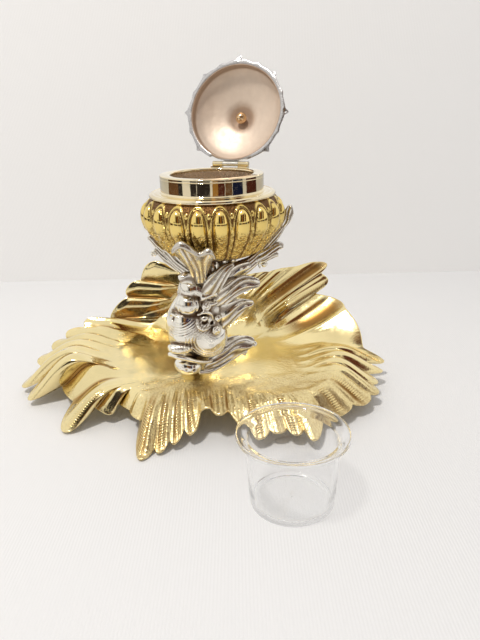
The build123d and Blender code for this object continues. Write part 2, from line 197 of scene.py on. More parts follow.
class Nodes:
    """A short way to write the node tree of a material or of the world."""

    def __init__(self, owner, shader="Principled BSDF", coordinates="Object"):
        owner.use_nodes = True
        self.owner = owner
        self.tree = owner.node_tree
        self.shader = self.tree.nodes[shader]
        self.place = self.add("ShaderNodeTexCoord").outputs[coordinates]

    def feed(self, name, value, node=None):
        """Wire a socket into an input, or set the input to a constant. Without a node, the shader's."""
        socket = (node or self.shader).inputs[name]
        if isinstance(value, bpy.types.NodeSocket):
            self.tree.links.new(value, socket)
        else:
            socket.default_value = value

    def add(self, kind, inputs=None, **settings):
        node = self.tree.nodes.new(kind)
        for key, value in settings.items():
            setattr(node, key, value)
        for key, value in (inputs or {}).items():
            self.feed(key, value, node)
        return node

    def noise(self, scale, detail=3.0):
        inputs = {"Vector": self.place, "Scale": scale, "Detail": detail, "Roughness": 0.55}
        return self.add("ShaderNodeTexNoise", inputs).outputs["Fac"]

    def cells(self, scale):
        inputs = {"Vector": self.place, "Scale": scale}
        return self.add("ShaderNodeTexVoronoi", inputs).outputs["Distance"]

    def spread(self, value, low, high, to_low=0.0, to_high=1.0):
        inputs = {"Value": value, "From Min": low, "From Max": high, "To Min": to_low, "To Max": to_high}
        return self.add("ShaderNodeMapRange", inputs).outputs["Result"]

    def math(self, operation, a, b):
        return self.add("ShaderNodeMath", {0: a, 1: b}, operation=operation).outputs[0]

    def blend(self, factor, a, b):
        return self.add("ShaderNodeMix", {0: factor, 6: a, 7: b}, data_type="RGBA").outputs[2]

    def value(self, name):
        return self.add("ShaderNodeAttribute", attribute_name=name).outputs["Fac"]

    def bump(self, height, strength, distance, normal=None):
        inputs = {"Height": height, "Strength": strength, "Distance": distance}
        if normal is not None:
            inputs["Normal"] = normal
        return self.add("ShaderNodeBump", inputs).outputs["Normal"]

    def clear_where(self, share, colour=rgb(1, 1, 1)):
        """Rays go straight through where share is 1."""
        clear = self.add("ShaderNodeBsdfTransparent", {"Color": colour})
        both = self.add("ShaderNodeMixShader", {0: share, 1: self.shader.outputs[0], 2: clear.outputs[0]})
        self.feed("Surface", both.outputs[0], self.tree.nodes["Material Output"])


def metal(name, bright, deep, polish, satin, chased=0.0, has_relief=False, tooling=900.0, metallic=1.0):
    """Precious metal with painted shade: brighter and smoother on high places, darker and duller in the recesses.

    polish and satin are its roughness where it is plain and where it is punched, chased is how
    deep the punched cells are, and tooling how many there are to a metre.
    """
    n = Nodes(bpy.data.materials.new(name))
    n.feed("Metallic", metallic)
    cloud = n.noise(38.0, 4.0)
    fine = n.noise(420.0)
    if has_relief:
        high = n.value("relief")
        worked = n.value("worked")
    else:
        high = n.spread(cloud, 0.3, 0.5, 0.75, 1.0)
        worked = n.spread(cloud, 0.4, 0.6, 0.0, 0.25)
    body = n.blend(n.spread(cloud, 0.35, 0.7), dimmed(bright, 0.82), bright)
    punched = n.math("MULTIPLY", n.cells(tooling), worked)
    # Painted shade: the base colour falls towards deep in the recesses and in the punched cells.
    unshaded = n.math("MULTIPLY", high, n.spread(punched, 0.2, 0.8, 1.0, 1.0 - 0.85 * chased))
    n.feed("Base Color", n.blend(unshaded, deep, body))
    base_roughness = n.add("ShaderNodeMix", {0: worked, 2: polish, 3: satin}).outputs[0]
    dull = n.math("ADD", base_roughness, n.spread(high, 0.0, 1.0, 0.22, 0.0))
    n.feed("Roughness", n.math("ADD", dull, n.spread(fine, 0.35, 0.65, -0.04, 0.05)))
    hammered = n.bump(punched, chased, 0.00035)
    soft = n.bump(n.noise(95.0, 2.0), 0.12, 0.0006, hammered)
    n.feed("Normal", n.bump(fine, 0.08, 0.00012, soft))
    return n.owner


# Each metal's deep colour is painted shade in the recesses where a piece gives its relief; elsewhere it only tints
# the metal at random.
GOLD, GOLD_DEEP = rgb(0.97, 0.81, 0.43), rgb(0.36, 0.19, 0.05)
# SILVER is the metal's own colour warmed towards yellow, partly a painted reflection of the gilt round it.
SILVER, SILVER_DEEP = rgb(0.98, 0.94, 0.84), rgb(0.19, 0.125, 0.075)
gilt_chased = metal("gilt_chased", GOLD, GOLD_DEEP, 0.10, 0.32, 0.45, True, 1000.0)
gilt_bowl = metal("gilt_bowl", rgb(0.96, 0.72, 0.24), rgb(0.17, 0.085, 0.03), 0.08, 0.24, 0.8, True, 1100.0)
gilt_polished = metal("gilt_polished", rgb(0.95, 0.82, 0.55), rgb(0.5, 0.3, 0.1), 0.04, 0.06)
gilt_inside = metal("gilt_inside", rgb(0.93, 0.80, 0.64), rgb(0.55, 0.38, 0.26), 0.22, 0.3, metallic=0.85)
silver_cast = metal("silver_cast", SILVER, SILVER_DEEP, 0.12, 0.22, 0.25, True, 1100.0)
silver_plain = metal("silver_plain", SILVER, rgb(0.3, 0.27, 0.24), 0.15, 0.22)
lid_wash = metal("lid_wash", rgb(0.83, 0.68, 0.545), rgb(0.44, 0.31, 0.22), 0.42, 0.50, 0.1, True, 500.0,
                 metallic=0.55)
lid_silver = metal("lid_silver", rgb(0.58, 0.565, 0.56), SILVER_DEEP, 0.22, 0.34, 0.25, True, 900.0)
nut_gold = metal("nut_gold", rgb(0.93, 0.66, 0.38), rgb(0.4, 0.22, 0.1), 0.2, 0.26)
plain_brass = metal("plain_brass", rgb(0.78, 0.58, 0.28), rgb(0.3, 0.18, 0.07), 0.25, 0.3)


def clear_glass():
    n = Nodes(bpy.data.materials.new("clear_glass"))
    n.feed("Transmission Weight", 1.0)
    n.feed("IOR", 1.5)
    n.feed("Base Color", n.blend(n.spread(n.noise(30.0), 0.3, 0.7), rgb(0.985, 0.99, 0.99), rgb(1, 1, 1)))
    n.feed("Roughness", n.spread(n.noise(160.0), 0.3, 0.8, 0.0, 0.03))
    n.feed("Normal", n.bump(n.noise(55.0, 1.0), 0.05, 0.0005))
    # It casts only a faint shadow, and a ray caught inside its thin base is let out after four turns.
    path = n.add("ShaderNodeLightPath").outputs
    caught = n.math("GREATER_THAN", path["Ray Depth"], 4.5)
    n.clear_where(n.math("MAXIMUM", path["Is Shadow Ray"], caught), rgb(0.88, 0.88, 0.88))
    return n.owner


glass = clear_glass()

# ---- Shell tray ------------------------------------------------------------------------------
# One entry for each rib, in order round the tray from the right wing over the back: the rib's
# tip, the notch that follows it, and the place where the rib leaves the pan. Then the height of
# the shoulder that it climbs, the height of the rib itself (below zero it is a channel between
# two ridges), how late it bends to its tip, how narrow its tip is, where along it the relief
# starts, and its beading: a ladder down its middle or a row of pearls in the groove after it.
PLAIN, LADDER, PEARLS = 0, 1, 2
RIBS = [
    ((104, 1.5, 10), (92, 5, 17), (50, -4, 18), 5.5, -1.2, 2.2, 1.5, 0.35, LADDER),
    ((90, 12, 27), (84.5, 21, 34.5), (44, 6, 18), 0, -0.5, 1.7, 1.5, 0.3, PLAIN),
    ((80.5, 30.5, 38), (68, 37, 39.5), (38, 19, 19), 0, -2.6, 1.5, 1.6, 0.1, PLAIN),
    ((76, 40, 45.5), (72, 42.5, 51), (35, 27, 22), 0, 2.8, 0.8, 1.3, 0, LADDER),
    ((74, 46, 57), (58, 47.5, 54), (31, 33, 27), 0, -2.6, 0.8, 0.8, 0, PLAIN),
    ((48, 48.5, 52.5), (40, 48, 51), (25, 38, 33), 0, 2, 0.8, 1.5, 0, PLAIN),
    ((31, 48, 50), (21, 46.5, 48.5), (17, 42, 38), 0, 1.4, 0.8, 0.8, 0.1, PLAIN),
    ((8, 47, 50), (-3, 47, 50.5), (6, 42.5, 41), 0, 1.2, 0.8, 0.6, 0.1, PLAIN),
    ((-14, 48, 53.5), (-20, 48.3, 55.5), (-4, 45, 43), 0, 0.8, 0.8, 0.6, 0.1, PLAIN),
    ((-33, 48.5, 58.5), (-40, 46.3, 47.5), (-10, 46.3, 46.5), 0, 2.7, 0.8, 1.2, 0, PLAIN),
    ((-48, 45.3, 44), (-47.5, 43.3, 37.5), (-16, 46.3, 39), 0, 3.2, 0.8, 0.6, 0, PLAIN),
    ((-56.5, 42.5, 31.5), (-59, 39, 24), (-21, 45, 30.5), 0, 4.4, 0.9, 0.6, 0, PLAIN),
    ((-72, 40, 26), (-75, 33.5, 22.5), (-36, 39, 19.5), 1, 1.6, 1.2, 0.9, 0.2, PLAIN),
    ((-85, 34, 20), (-85, 27, 18), (-44, 20, 18), 4, 2.4, 1.5, 1, 0.15, PEARLS),
    ((-92, 23, 16), (-90, 16.5, 14), (-48, 13, 18), 5.5, 2.5, 1.8, 1, 0.15, PEARLS),
    ((-98, 11.5, 11), (-94, 5, 10), (-50, 6, 18), 7, 2.5, 2, 1.1, 0.1, PEARLS),
    ((-101.8, -8.5, 4), (-90, -11, 9.5), (-50, -4, 18), 8.5, 2.4, 2.6, 1.5, 0.05, PLAIN),
    ((-92.5, -24.5, 4), (-76, -18, 9), (-46, -13, 18), 9, 2.6, 2.4, 1.3, 0.05, PLAIN),
    ((-71.5, -26.5, 8), (-66, -33, 9), (-38, -22, 18), 3, 2.8, 1.6, 0.5, 0.05, PLAIN),
    ((-66.5, -52.5, 1.5), (-52.5, -43, 9), (-33, -30, 18), 4, 2.2, 1.8, 0.62, 0.1, LADDER),
    ((-44.3, -44.5, 6), (-42, -38.5, 10), (-30, -35, 18), 2, 1, 1.6, 1.6, 0.3, PLAIN),
    ((-38, -43, 9.5), (-34, -45.5, 9.5), (-27, -38, 18), 2, 0.9, 1.4, 0.6, 0.3, PLAIN),
    ((-32.5, -51, 9.5), (-27.5, -55, 9), (-24, -40, 18), 2.5, 1.2, 1.4, 0.6, 0.2, PLAIN),
    ((-27, -75.5, 1), (-19.5, -69.5, 3.5), (-18, -37, 18), 3.5, -1.9, 1.9, 0.75, 0.1, LADDER),
    ((-16.5, -73, 3), (-12.5, -67.5, 6), (-14, -38, 18), 3, -1.6, 1.8, 0.7, 0.1, LADDER),
    ((-9, -69, 5.5), (-6, -62.5, 9.5), (-9, -38.5, 18), 3, -1.5, 1.7, 0.7, 0.1, LADDER),
    ((-2, -65.5, 8), (1, -57.5, 14), (-5, -38.5, 18), 2, -1.5, 1.6, 0.7, 0.1, LADDER),
    ((4, -58.5, 17), (7.5, -58.5, 16.5), (1, -37, 18), 0, 1.5, 1.3, 0.5, 0.1, PLAIN),
    ((11, -61.5, 15), (15, -57.5, 15.5), (9, -37, 18), 0, 1.6, 1.3, 0.7, 0.1, PLAIN),
    ((19, -63.5, 12), (24, -67, 8.5), (16, -38, 18), 1, 1.7, 1.5, 0.5, 0.1, PLAIN),
    ((29, -69.5, 7), (33.5, -65, 9), (23, -39.5, 18), 2, -1.5, 1.6, 0.6, 0.1, LADDER),
    ((38, -67, 8), (42, -63.5, 9), (29, -40.5, 18), 2.5, 1.5, 1.6, 0.6, 0.1, PLAIN),
    ((46, -68.5, 8), (50, -65, 9), (35, -41, 18), 3, -1.5, 1.6, 0.6, 0.1, LADDER),
    ((56, -71.5, 7), (62, -55, 9), (41, -41, 18), 3, 1.6, 1.7, 0.9, 0.1, PLAIN),
    ((71, -52.5, 8), (76, -45.5, 10), (50, -42, 18), 4, -1.4, 1.8, 0.6, 0.3, LADDER),
    ((85, -42, 8), (87, -35, 10), (52, -34, 18), 5, -1.5, 2, 0.7, 0.3, LADDER),
    ((93, -31.5, 8), (90, -25.5, 11), (52, -26, 18), 6, 2.4, 2, 0.7, 0.1, PEARLS),
    ((95, -20.5, 8.5), (90, -15.5, 12), (51, -18, 18), 6, 2.5, 2, 0.8, 0.1, PEARLS),
    ((100.5, -8.5, 8.5), (92, -4, 12), (50, -11, 18), 5.5, 2.6, 2.1, 1, 0.1, PEARLS),
]
TRAY_SHEET = 1.5
SOLE = 1.6
RIB_STEPS = 26
OUT_STEPS = 100
EDGE_STEPS = 5
UNDER_STEPS = 20
PAN_STEPS = 30
PAN_MIDDLE = np.array([4.0, -8.0])


def across_rib(table, index, fraction):
    """A per-rib quantity at each fraction of the way across one rib, eased into its neighbours."""
    here, before, after = table[index], table[index - 1], table[(index + 1) % len(table)]
    low, high = (before + here) / 2, (here + after) / 2
    share = fraction[:, None]
    return low + (high - low) * share + (here - (low + high) / 2) * 4 * share * (1 - share)


class TrayRim:
    """Everything about the tray that depends only on the place round its edge."""

    def __init__(self, steps):
        tips, notches, roots = (np.array([rib[k] for rib in RIBS], float) for k in range(3))
        numbers = np.array([rib[3:8] for rib in RIBS], float)
        fraction = (np.arange(steps) + 0.5) / steps
        across = 2 * fraction - 1
        rim, root, traits = [], [], []
        for i in range(len(RIBS)):
            start, stop = notches[i - 1], notches[i]
            bulge = (1 - np.abs(across) ** 2.2) ** numbers[i, 3]
            offset = tips[i] - (start + stop) / 2
            rim.append(start + (stop - start) * fraction[:, None] + offset * bulge[:, None])
            root.append(across_rib(roots, i, fraction))
            traits.append(across_rib(numbers, i, fraction))
        self.rim, self.root = np.concatenate(rim), np.concatenate(root)
        self.shoulder, self.height, self.late, _, self.start = np.concatenate(traits).T[:, :, None]
        self.across = np.tile(across, len(RIBS))[:, None]


def tray_surface(rim, out):
    """Upper face of the tray beyond the pan, its normals and its relief.

    out runs from 0 at the roots of the ribs to 1 at the edge.
    """
    out = out[None, :]
    base = rim.root[:, None, :] + (rim.rim - rim.root)[:, None, :] * out[..., None]
    base[..., 2] = rim.root[:, 2:] + (rim.rim - rim.root)[:, 2:] * out ** rim.late
    base[..., 2] += rim.shoulder * np.sin(math.pi * out**1.1) ** 2
    normal = np.cross(np.gradient(base, axis=1), np.roll(base, -2, 0) - np.roll(base, 2, 0))
    normal *= np.sign(out[0, -1] - out[0, 0])
    normal = unit(sum(np.roll(unit(normal), k, 0) for k in range(-12, 13, 3)))
    lean = rim.across + 0.22 * (1 - rim.across**2)
    crest = np.sqrt(np.clip(1 - lean**2, 0, 1)) - 0.62
    grow = smooth(out, rim.start, rim.start + 0.45) * (1 - 0.4 * smooth(out, 0.85, 1.0))
    flutes = 0.22 * np.cos(3 * math.pi * rim.across) * smooth(np.abs(rim.height), 0.9, 1.4)
    relief = rim.height * crest + flutes * smooth(rim.height, 2.6, 2.0) * smooth(rim.height, -2.5, -2.0)
    x, y = base[..., 0], base[..., 1]
    uneven = 0.45 * waves(3, x * 0.11, y * 0.13) * smooth(out, 0.0, 0.4)
    uneven = uneven + punched_waves(x, y) * smooth(out, 1.0, 0.6)
    surface = base + normal * (relief * grow + uneven)[..., None]
    # Low places are eased off, so that they stay at least SOLE above the table.
    below = surface[..., 2] - (SOLE + 1)
    surface[..., 2] = np.where(below < 0, SOLE + np.exp(np.minimum(below, 0)), surface[..., 2])
    return surface, normal, relief * grow


def chased_front(x, y):
    """1 over the punched part of the tray in front of the dolphin, fading out round it."""
    return smooth(-y, 24, 40) * smooth(x, -42, -18)


def punched_waves(x, y):
    """How far the sheet is pushed up and down in that punched part."""
    return 0.75 * waves(11, x * 0.30, y * 0.26) * chased_front(x, y)


def make_tray():
    rim = TrayRim(RIB_STEPS)
    upper, lift, relief = tray_surface(rim, np.linspace(0, 1, OUT_STEPS))
    # The pan runs from the middle of the tray to the roots of the ribs, and sweeps up behind.
    inward = np.linspace(0.04, 1, PAN_STEPS)[:-1][None, :, None]
    pan_plan = PAN_MIDDLE + (rim.root[:, None, :2] - PAN_MIDDLE) * inward
    x, y = pan_plan[..., 0], pan_plan[..., 1]
    sweep = np.clip((inward[..., 0] - 0.62) / 0.38, 0, 1) ** 2
    pan_z = PAN_Z + (rim.root[:, 2:] - PAN_Z) * sweep + 0.25 * waves(5, x * 0.09, y * 0.1)
    pan = np.concatenate([pan_plan, (pan_z + punched_waves(x, y))[..., None]], -1)
    # The under face follows the upper one, a sheet's thickness below.
    under, under_lift, _ = tray_surface(rim, np.linspace(1, 0, UNDER_STEPS))
    under = under - under_lift * TRAY_SHEET
    under_pan = pan[:, ::-2].copy()
    under_pan[..., 2] -= TRAY_SHEET
    outward = unit(rim.rim - rim.root)
    edge = []
    for k in range(1, EDGE_STEPS):
        turn = math.pi * k / EDGE_STEPS
        ring = upper[:, -1] + outward * 0.5 * TRAY_SHEET * math.sin(turn)
        ring = ring - lift[:, -1] * 0.5 * TRAY_SHEET * (1 - math.cos(turn))
        edge.append(ring[:, None])
    rows = np.concatenate([pan, upper] + edge + [under, under_pan], 1)
    rows[..., 2] = np.maximum(rows[..., 2], 0.1)
    count, columns = rows.shape[:2]
    first = pan.shape[1]
    # Painted shade: the channels and the grooves between the ribs are darkened towards the deep colour.
    high = np.ones((count, columns))
    high[:, first:first + OUT_STEPS] = smooth(relief, -1.0, 0.0)
    out = np.zeros((count, columns))
    out[:, first:first + OUT_STEPS] = np.linspace(0, 1, OUT_STEPS)
    front = chased_front(rows[..., 0], rows[..., 1])
    pan_satin = 0.20 * smooth(out, 0.5, 0.0)
    edge_satin = 0.5 * smooth(out, 0.75, 1.0) * smooth(rows[..., 1], 30, 10)
    worked = 0.06 + 0.94 * np.clip(0.85 * front + pan_satin + edge_satin, 0, 1)
    # Two points close the small rings at the middle of the pan.
    points = np.vstack([rows.reshape(-1, 3), pan[:, 0].mean(0), under_pan[:, -1].mean(0)])
    tray = add_piece("shell_tray_chased", points, grid_faces(count, columns), "stand",
                     gilt_chased, ["shell_tray"], np.append(high, [1, 1]), np.append(worked, [0.5, 0.5]))
    ring = np.arange(count) * columns
    following = np.roll(ring, -1)
    last = columns - 1
    top, bottom = np.full(count, count * columns), np.full(count, count * columns + 1)
    add_faces(tray, np.vstack([np.stack([top, ring, following], -1),
                               np.stack([bottom, following + last, ring + last], -1)]))
    make_beading(upper)


def add_faces(piece, corners):
    """Close openings of a mesh with more faces, each a row of vertex numbers."""
    mesh = bmesh.new()
    mesh.from_mesh(piece.data)
    mesh.verts.ensure_lookup_table()
    for row in corners:
        mesh.faces.new([mesh.verts[k] for k in row]).smooth = True
    bmesh.ops.recalc_face_normals(mesh, faces=mesh.faces)
    mesh.to_mesh(piece.data)
    mesh.free()


def make_beading(upper):
    """Rows of small raised beads: ladders down the channels, and pearls in the wing's grooves."""
    grain_around, grain_along, grain_r = 8, 6, 0.42
    # A bead's first axis is its length, and its third stands off the surface.
    grain = unit_bead(grain_around, grain_along)[..., [2, 0, 1]].reshape(-1, 3)
    grain_quads = grid_faces(grain_around, grain_along)
    points, faces = [], []
    for i, rib in enumerate(RIBS):
        if rib[8] == PLAIN:
            continue
        ladder = rib[8] == LADDER
        column = i * RIB_STEPS + (RIB_STEPS // 2 if ladder else RIB_STEPS - 3)
        line = upper[column]
        side = (upper[column + 2] - upper[column - 2]) * RIB_STEPS / 4
        length = np.concatenate([[0], np.cumsum(np.linalg.norm(np.diff(line, axis=0), axis=1))])
        low, high, spacing = (0.42, 0.95, 1.3) if ladder else (0.2, 0.8, 1.15)
        places = np.arange(low * length[-1], high * length[-1], spacing)
        for place in places:
            spot, wide, ahead = (np.array([np.interp(at, length, values[:, k]) for k in range(3)])
                                 for at, values in ((place, line), (place, side), (place + 0.3, line)))
            along, cross = unit(ahead - spot), unit(wide)
            normal = unit(np.cross(cross, along))
            normal = normal if normal[2] > 0 else -normal
            half = min(max(0.22 * np.linalg.norm(wide), 0.6), 2.2) if ladder else 0.5
            faces.append(grain_quads + len(points) * len(grain))
            points.append(spot + grain @ np.array([cross * half, along * grain_r, normal * grain_r]))
    add_piece("tray_beading", np.vstack(points), np.vstack(faces), "stand", gilt_chased,
              relief=1.0, worked=0.2)


make_tray()


# ---- Turned pieces ---------------------------------------------------------------------------
class Place:
    """A local frame: an origin and three axes, in millimetres."""

    def __init__(self, origin, along, across, up):
        self.origin = np.asarray(origin, float)
        self.axes = np.array([along, across, up], float)

    def world(self, local):
        return self.origin + local.reshape(-1, 3) @ self.axes


UPRIGHT = ((1, 0, 0), (0, 1, 0), (0, 0, 1))
well_place = Place((WELL_X, WELL_Y, 0), *UPRIGHT)


def rounded(corners, radius, steps=5):
    """A closed profile with each corner turned into a small arc. A corner can give its own radius."""
    line = []
    places = np.array([corner[:2] for corner in corners], float)
    for corner, here, before, after in zip(corners, places, np.roll(places, 1, 0), np.roll(places, -1, 0)):
        own = corner[2] if len(corner) > 2 else radius
        reach_in, reach_out = np.linalg.norm(before - here), np.linalg.norm(after - here)
        cut = min(own, 0.45 * reach_in, 0.45 * reach_out)
        start, stop = here + (before - here) / reach_in * cut, here + (after - here) / reach_out * cut
        for k in range(steps + 1):
            t = k / steps
            line.append((1 - t) ** 2 * start + 2 * t * (1 - t) * here + t * t * stop)
    return np.array(line)


def add_round(name, place, angle, radius, height, body, material, replaces, relief=None, worked=None,
              closed=True):
    """A piece whose points lie in rows round a place's third axis."""
    local = around_axis(angle, radius, height)
    faces = grid_faces(*local.shape[:2], True, closed)
    return add_piece(name, place.world(local), faces, body, material, replaces, relief, worked)


def turned(name, profile, place, material, body="stand", replaces=(), steps=240):
    """A closed profile of (radius, height) points, turned about a place's third axis."""
    radius, height = profile.T
    piece = add_round(name, place, circle(steps), radius, height, body, material, replaces)
    piece.data.set_sharp_from_angle(angle=math.radians(40))
    return piece


COLLAR_R = 24.0
SHOULDER_TOP = BOWL_HIGH + 2.4
RING_LOW = RIM_TOP - 1.6

turned("shoulder_moulding", rounded(
    [(COLLAR_R + 0.05, BOWL_HIGH - 0.3), (28.2, BOWL_HIGH - 0.3), (28.9, BOWL_HIGH + 0.3),
     (29.5, BOWL_HIGH + 0.9, 1.0), (29.3, BOWL_HIGH + 1.9, 1.0), (28.1, SHOULDER_TOP),
     (27.2, SHOULDER_TOP - 0.25), (26.4, SHOULDER_TOP + 0.05),
     (COLLAR_R + 0.05, SHOULDER_TOP + 0.15)], 0.35),
    well_place, gilt_polished, replaces=["shoulder_ring"])
turned("collar", rounded(
    [(COLLAR_R - 1.2, BOWL_HIGH), (COLLAR_R, BOWL_HIGH), (COLLAR_R, 112.6), (24.6, 112.7),
     (24.5, 113.4, 0.5), (COLLAR_R, 113.7, 0.3), (COLLAR_R, 114.2, 0.1), (COLLAR_R, RING_LOW - 0.4, 0.1),
     (COLLAR_R, RING_LOW), (COLLAR_R - 1.2, RING_LOW)], 0.25),
    well_place, gilt_polished, replaces=["collar_drum"])
turned("mouth_ring", rounded(
    [(WELL_R, RING_LOW), (COLLAR_R, RING_LOW), (COLLAR_R, RIM_TOP - 0.1, 0.5),
     (WELL_R + 1.6, RIM_TOP - 0.02), (WELL_R, RIM_TOP - 0.25, 0.5)], 0.15),
    well_place, gilt_polished, replaces=["rim_ring"])


# ---- Gadrooned bowl --------------------------------------------------------------------------
GADROONS = 20
GADROON_TURN = math.radians(-82.0)      # one gadroon's middle, measured from +X
GADROON_SHOULDER = 101.6                # where its round top begins
BOWL_SHEET = 1.2
BOWL_LINE = [(11.0, 82.1), (14.5, 82.9), (19.0, 84.2), (22.6, 86.4), (25.6, 90.0), (28.4, 94.0),
             (30.4, 98.0), (31.3, 101.5), (31.5, 104.5), (30.9, 107.6), (29.6, 109.7), (28.6, 110.6)]


def bowl_relief(phase, z):
    """Height of the gadroons above the plain bowl. phase runs from -1 to 1 across one gadroon."""
    side = np.abs(phase)
    above = np.maximum(z - GADROON_SHOULDER, 0)
    tongue = np.sqrt(np.clip(1 - (side / 0.66) ** 2 - (above / 7.2) ** 2, 0, 1))
    swell = 0.9 + 1.7 * smooth(z, 91.0, 100.5)
    hoop_out = np.sqrt((side / 0.86) ** 2 + (above / 8.5) ** 2)
    hoop = np.exp(-((hoop_out - 1) / 0.08) ** 2)
    dart_width = 0.17 * smooth(z, 103.5, 98.5) + 0.03
    dart = np.clip(1 - ((1 - side) / dart_width) ** 2, 0, 1) * smooth(z, 103.6, 102.0)
    pearl = np.sqrt(np.clip(1 - ((1 - side) / 0.2) ** 2 - ((z - 106.6) / 1.3) ** 2, 0, 1))
    return (swell * tongue + 0.5 * hoop + 0.9 * dart + 0.7 * pearl) * smooth(z, 82.6, 88.0)


def make_bowl():
    per_gadroon, rows = 30, 120
    angle = circle(GADROONS * per_gadroon)
    line = spline(BOWL_LINE, rows)
    slope = unit(np.gradient(line, axis=0))
    normal = np.stack([slope[:, 1], -slope[:, 0]], -1)
    z = line[None, :, 1]
    phase = ((angle - GADROON_TURN) * GADROONS / (2 * math.pi) + 0.5) % 1 * 2 - 1
    relief = bowl_relief(phase[:, None], z)
    pitted = smooth(z, 101.5, 98.0)
    lift = relief + 0.24 * waves(7, angle[:, None] * 61, z * 1.9) * pitted
    # The inside is plain: it follows the outside a sheet's thickness within, down to a flat floor.
    inner = line[::-6] - normal[::-6] * BOWL_SHEET
    inner[:, 1] = np.clip(inner[:, 1], BOWL_LOW + BOWL_SHEET, BOWL_HIGH)
    inner = np.vstack([inner, (2.0, BOWL_LOW + BOWL_SHEET), (2.0, BOWL_LOW)])
    radius, height = (np.hstack([line[:, k] + normal[:, k] * lift, np.tile(inner[:, k], (len(angle), 1))])
                      for k in (0, 1))
    shade = np.ones(radius.shape)
    shade[:, :rows] = smooth(relief, 0.0, 0.55)
    worked = np.zeros(radius.shape)
    worked[:, :rows] = np.maximum(pitted, smooth(relief, 0.3, 0.1))
    add_round("gadrooned_bowl", well_place, angle, radius, height, "stand", gilt_bowl,
              ["gadroon_bowl"], shade, worked)


make_bowl()


# ---- Lid -------------------------------------------------------------------------------------
hinge_out = np.cross((0, 0, 1), HINGE_ALONG)
HINGE_REACH = float((HINGE - np.array([WELL_X, WELL_Y, 0])) @ hinge_out)
LID_SEAT = RIM_TOP + 0.3
lid_up = np.array([0, 0, math.cos(LID_TURN)]) + hinge_out * math.sin(LID_TURN)
lid_back = hinge_out * math.cos(LID_TURN) - np.array([0, 0, math.sin(LID_TURN)])
lid_centre = HINGE - lid_back * HINGE_REACH + lid_up * (LID_SEAT - HINGE[2])
lid_place = Place(lid_centre, HINGE_ALONG, lid_back, lid_up)
LID_R = 23.0
LID_WALL_R = 24.0
LID_BOSS_Z = 13.6


def make_lid_dome():
    """Plain concave inside; outside, eight lobes that rise to a central boss."""
    angle = circle(480)
    rim = rounded([(LID_R, 3.4, 0.8), (LID_R, 0.0, 0.2), (LID_WALL_R, 0.0, 0.2)], 0.3)[2:-6]
    line_in = np.vstack([(LID_WALL_R, 0.1), rim[::-1], spline(
        [(22.3, 3.9), (19.6, 5.9), (15.6, 7.7), (11.6, 8.9), (8.4, 9.7), (6.4, 10.6), (4.8, 11.9),
         (3.0, 12.9), (1.0, 13.2)], 60)])
    line_out = spline(
        [(1.0, LID_BOSS_Z + 1.0), (4.2, LID_BOSS_Z + 0.9), (7.4, 13.2), (8.8, 11.4), (11.6, 10.2),
         (15.8, 8.9), (19.6, 7.3), (22.6, 5.2), (23.9, 3.2), (24.0, 0.6)], 90)
    inside_r, outside_r = line_in[:, 0], line_out[:, 0]
    lobe = np.abs(np.cos(4 * angle))[:, None] ** 0.6
    vein = np.cos(40 * angle)[:, None]
    lift = smooth(outside_r, 8.6, 13) * smooth(outside_r, 24.0, 20.5) * (lobe - 0.75 + 0.12 * vein * lobe)
    dents = 0.05 * waves(9, np.cos(angle)[:, None] * 6, inside_r * 0.4)
    height = np.hstack([line_in[:, 1] + dents, line_out[:, 1] + lift])
    # Painted shade: inside, darker in the hollow at the middle and in the corner at the rim; outside, darker
    # between the lobes.
    relief = np.ones(height.shape)
    relief[:, :len(line_in)] = 0.25 + 0.75 * smooth(inside_r, 2.0, 9.5) * smooth(inside_r, 23.3, 22.0)
    relief[:, len(line_in):] = smooth(lobe, 0.15, 0.6)
    dome = add_round("lid_dome_shell", lid_place, angle, np.append(inside_r, outside_r), height, "lid",
                     lid_wash, ["lid_dome"], relief, 0.7)
    dome.data.materials.append(silver_cast)
    outer = np.tile(np.arange(height.shape[1]) >= len(line_in), len(angle))
    dome.data.polygons.foreach_set("material_index", outer.astype(np.int32))


def make_lid_border():
    """A flat leaf edge: eight small points with hollow scallops between, none at the hinge."""
    angle = circle(1152)
    from_hinge = (angle - math.pi / 2 + math.pi) % (2 * math.pi) - math.pi
    phase = (angle - math.pi / 2) * 8 / (2 * math.pi)
    # Degrees from the nearest point of the edge, and that point's number and size.
    off = np.abs((phase + 0.5) % 1 - 0.5) * 45.0
    number = np.round(phase).astype(int) % 8
    size = np.array([1.0, 0.7, 1.0, 0.8, 1.15, 0.75, 0.9, 0.8])[number]
    point = np.exp(-((off / 2.4) ** 2)) * size
    hollow = (1 - off / 22.5) ** 1.6 * size
    between = np.exp(-(((off - 22.5) / 4.0) ** 2))
    ragged = 0.12 * waves(4, np.cos(angle) * 11, np.sin(angle) * 11)
    # near is 0 beside the hinge, where the edge stays narrow and thin.
    near = smooth(np.abs(from_hinge), math.radians(24.5), math.radians(27.5))
    reach = LID_WALL_R + 0.08 + near * (0.72 + 1.3 * hollow + 1.5 * point + 0.8 * between + ragged)
    t = circle(36)
    inner = LID_R + 0.25
    middle = (inner + reach)[:, None] / 2
    half = (reach - inner)[:, None] / 2
    flat = np.sign(np.cos(t)) * np.abs(np.cos(t)) ** 0.7
    radius = middle - half * flat
    knob = np.exp(-((off / 3.2) ** 2))[:, None] * smooth(radius, 24.6, 26.0) * near[:, None]
    top, low = (np.maximum(side * np.sin(t), 0) ** 0.6 for side in (1, -1))
    height = 0.30 + top * (0.75 + 1.1 * knob) - low * (0.25 + 0.2 * near[:, None]) + 0.5 * knob
    # Painted shade: a little darker along the inner edge, where it meets the dome.
    add_round("lid_leaf_border", lid_place, angle, radius, height, "lid", lid_silver,
              ["lid_border"], 0.75 + 0.25 * smooth(radius, 23.4, 24.4), 0.4)


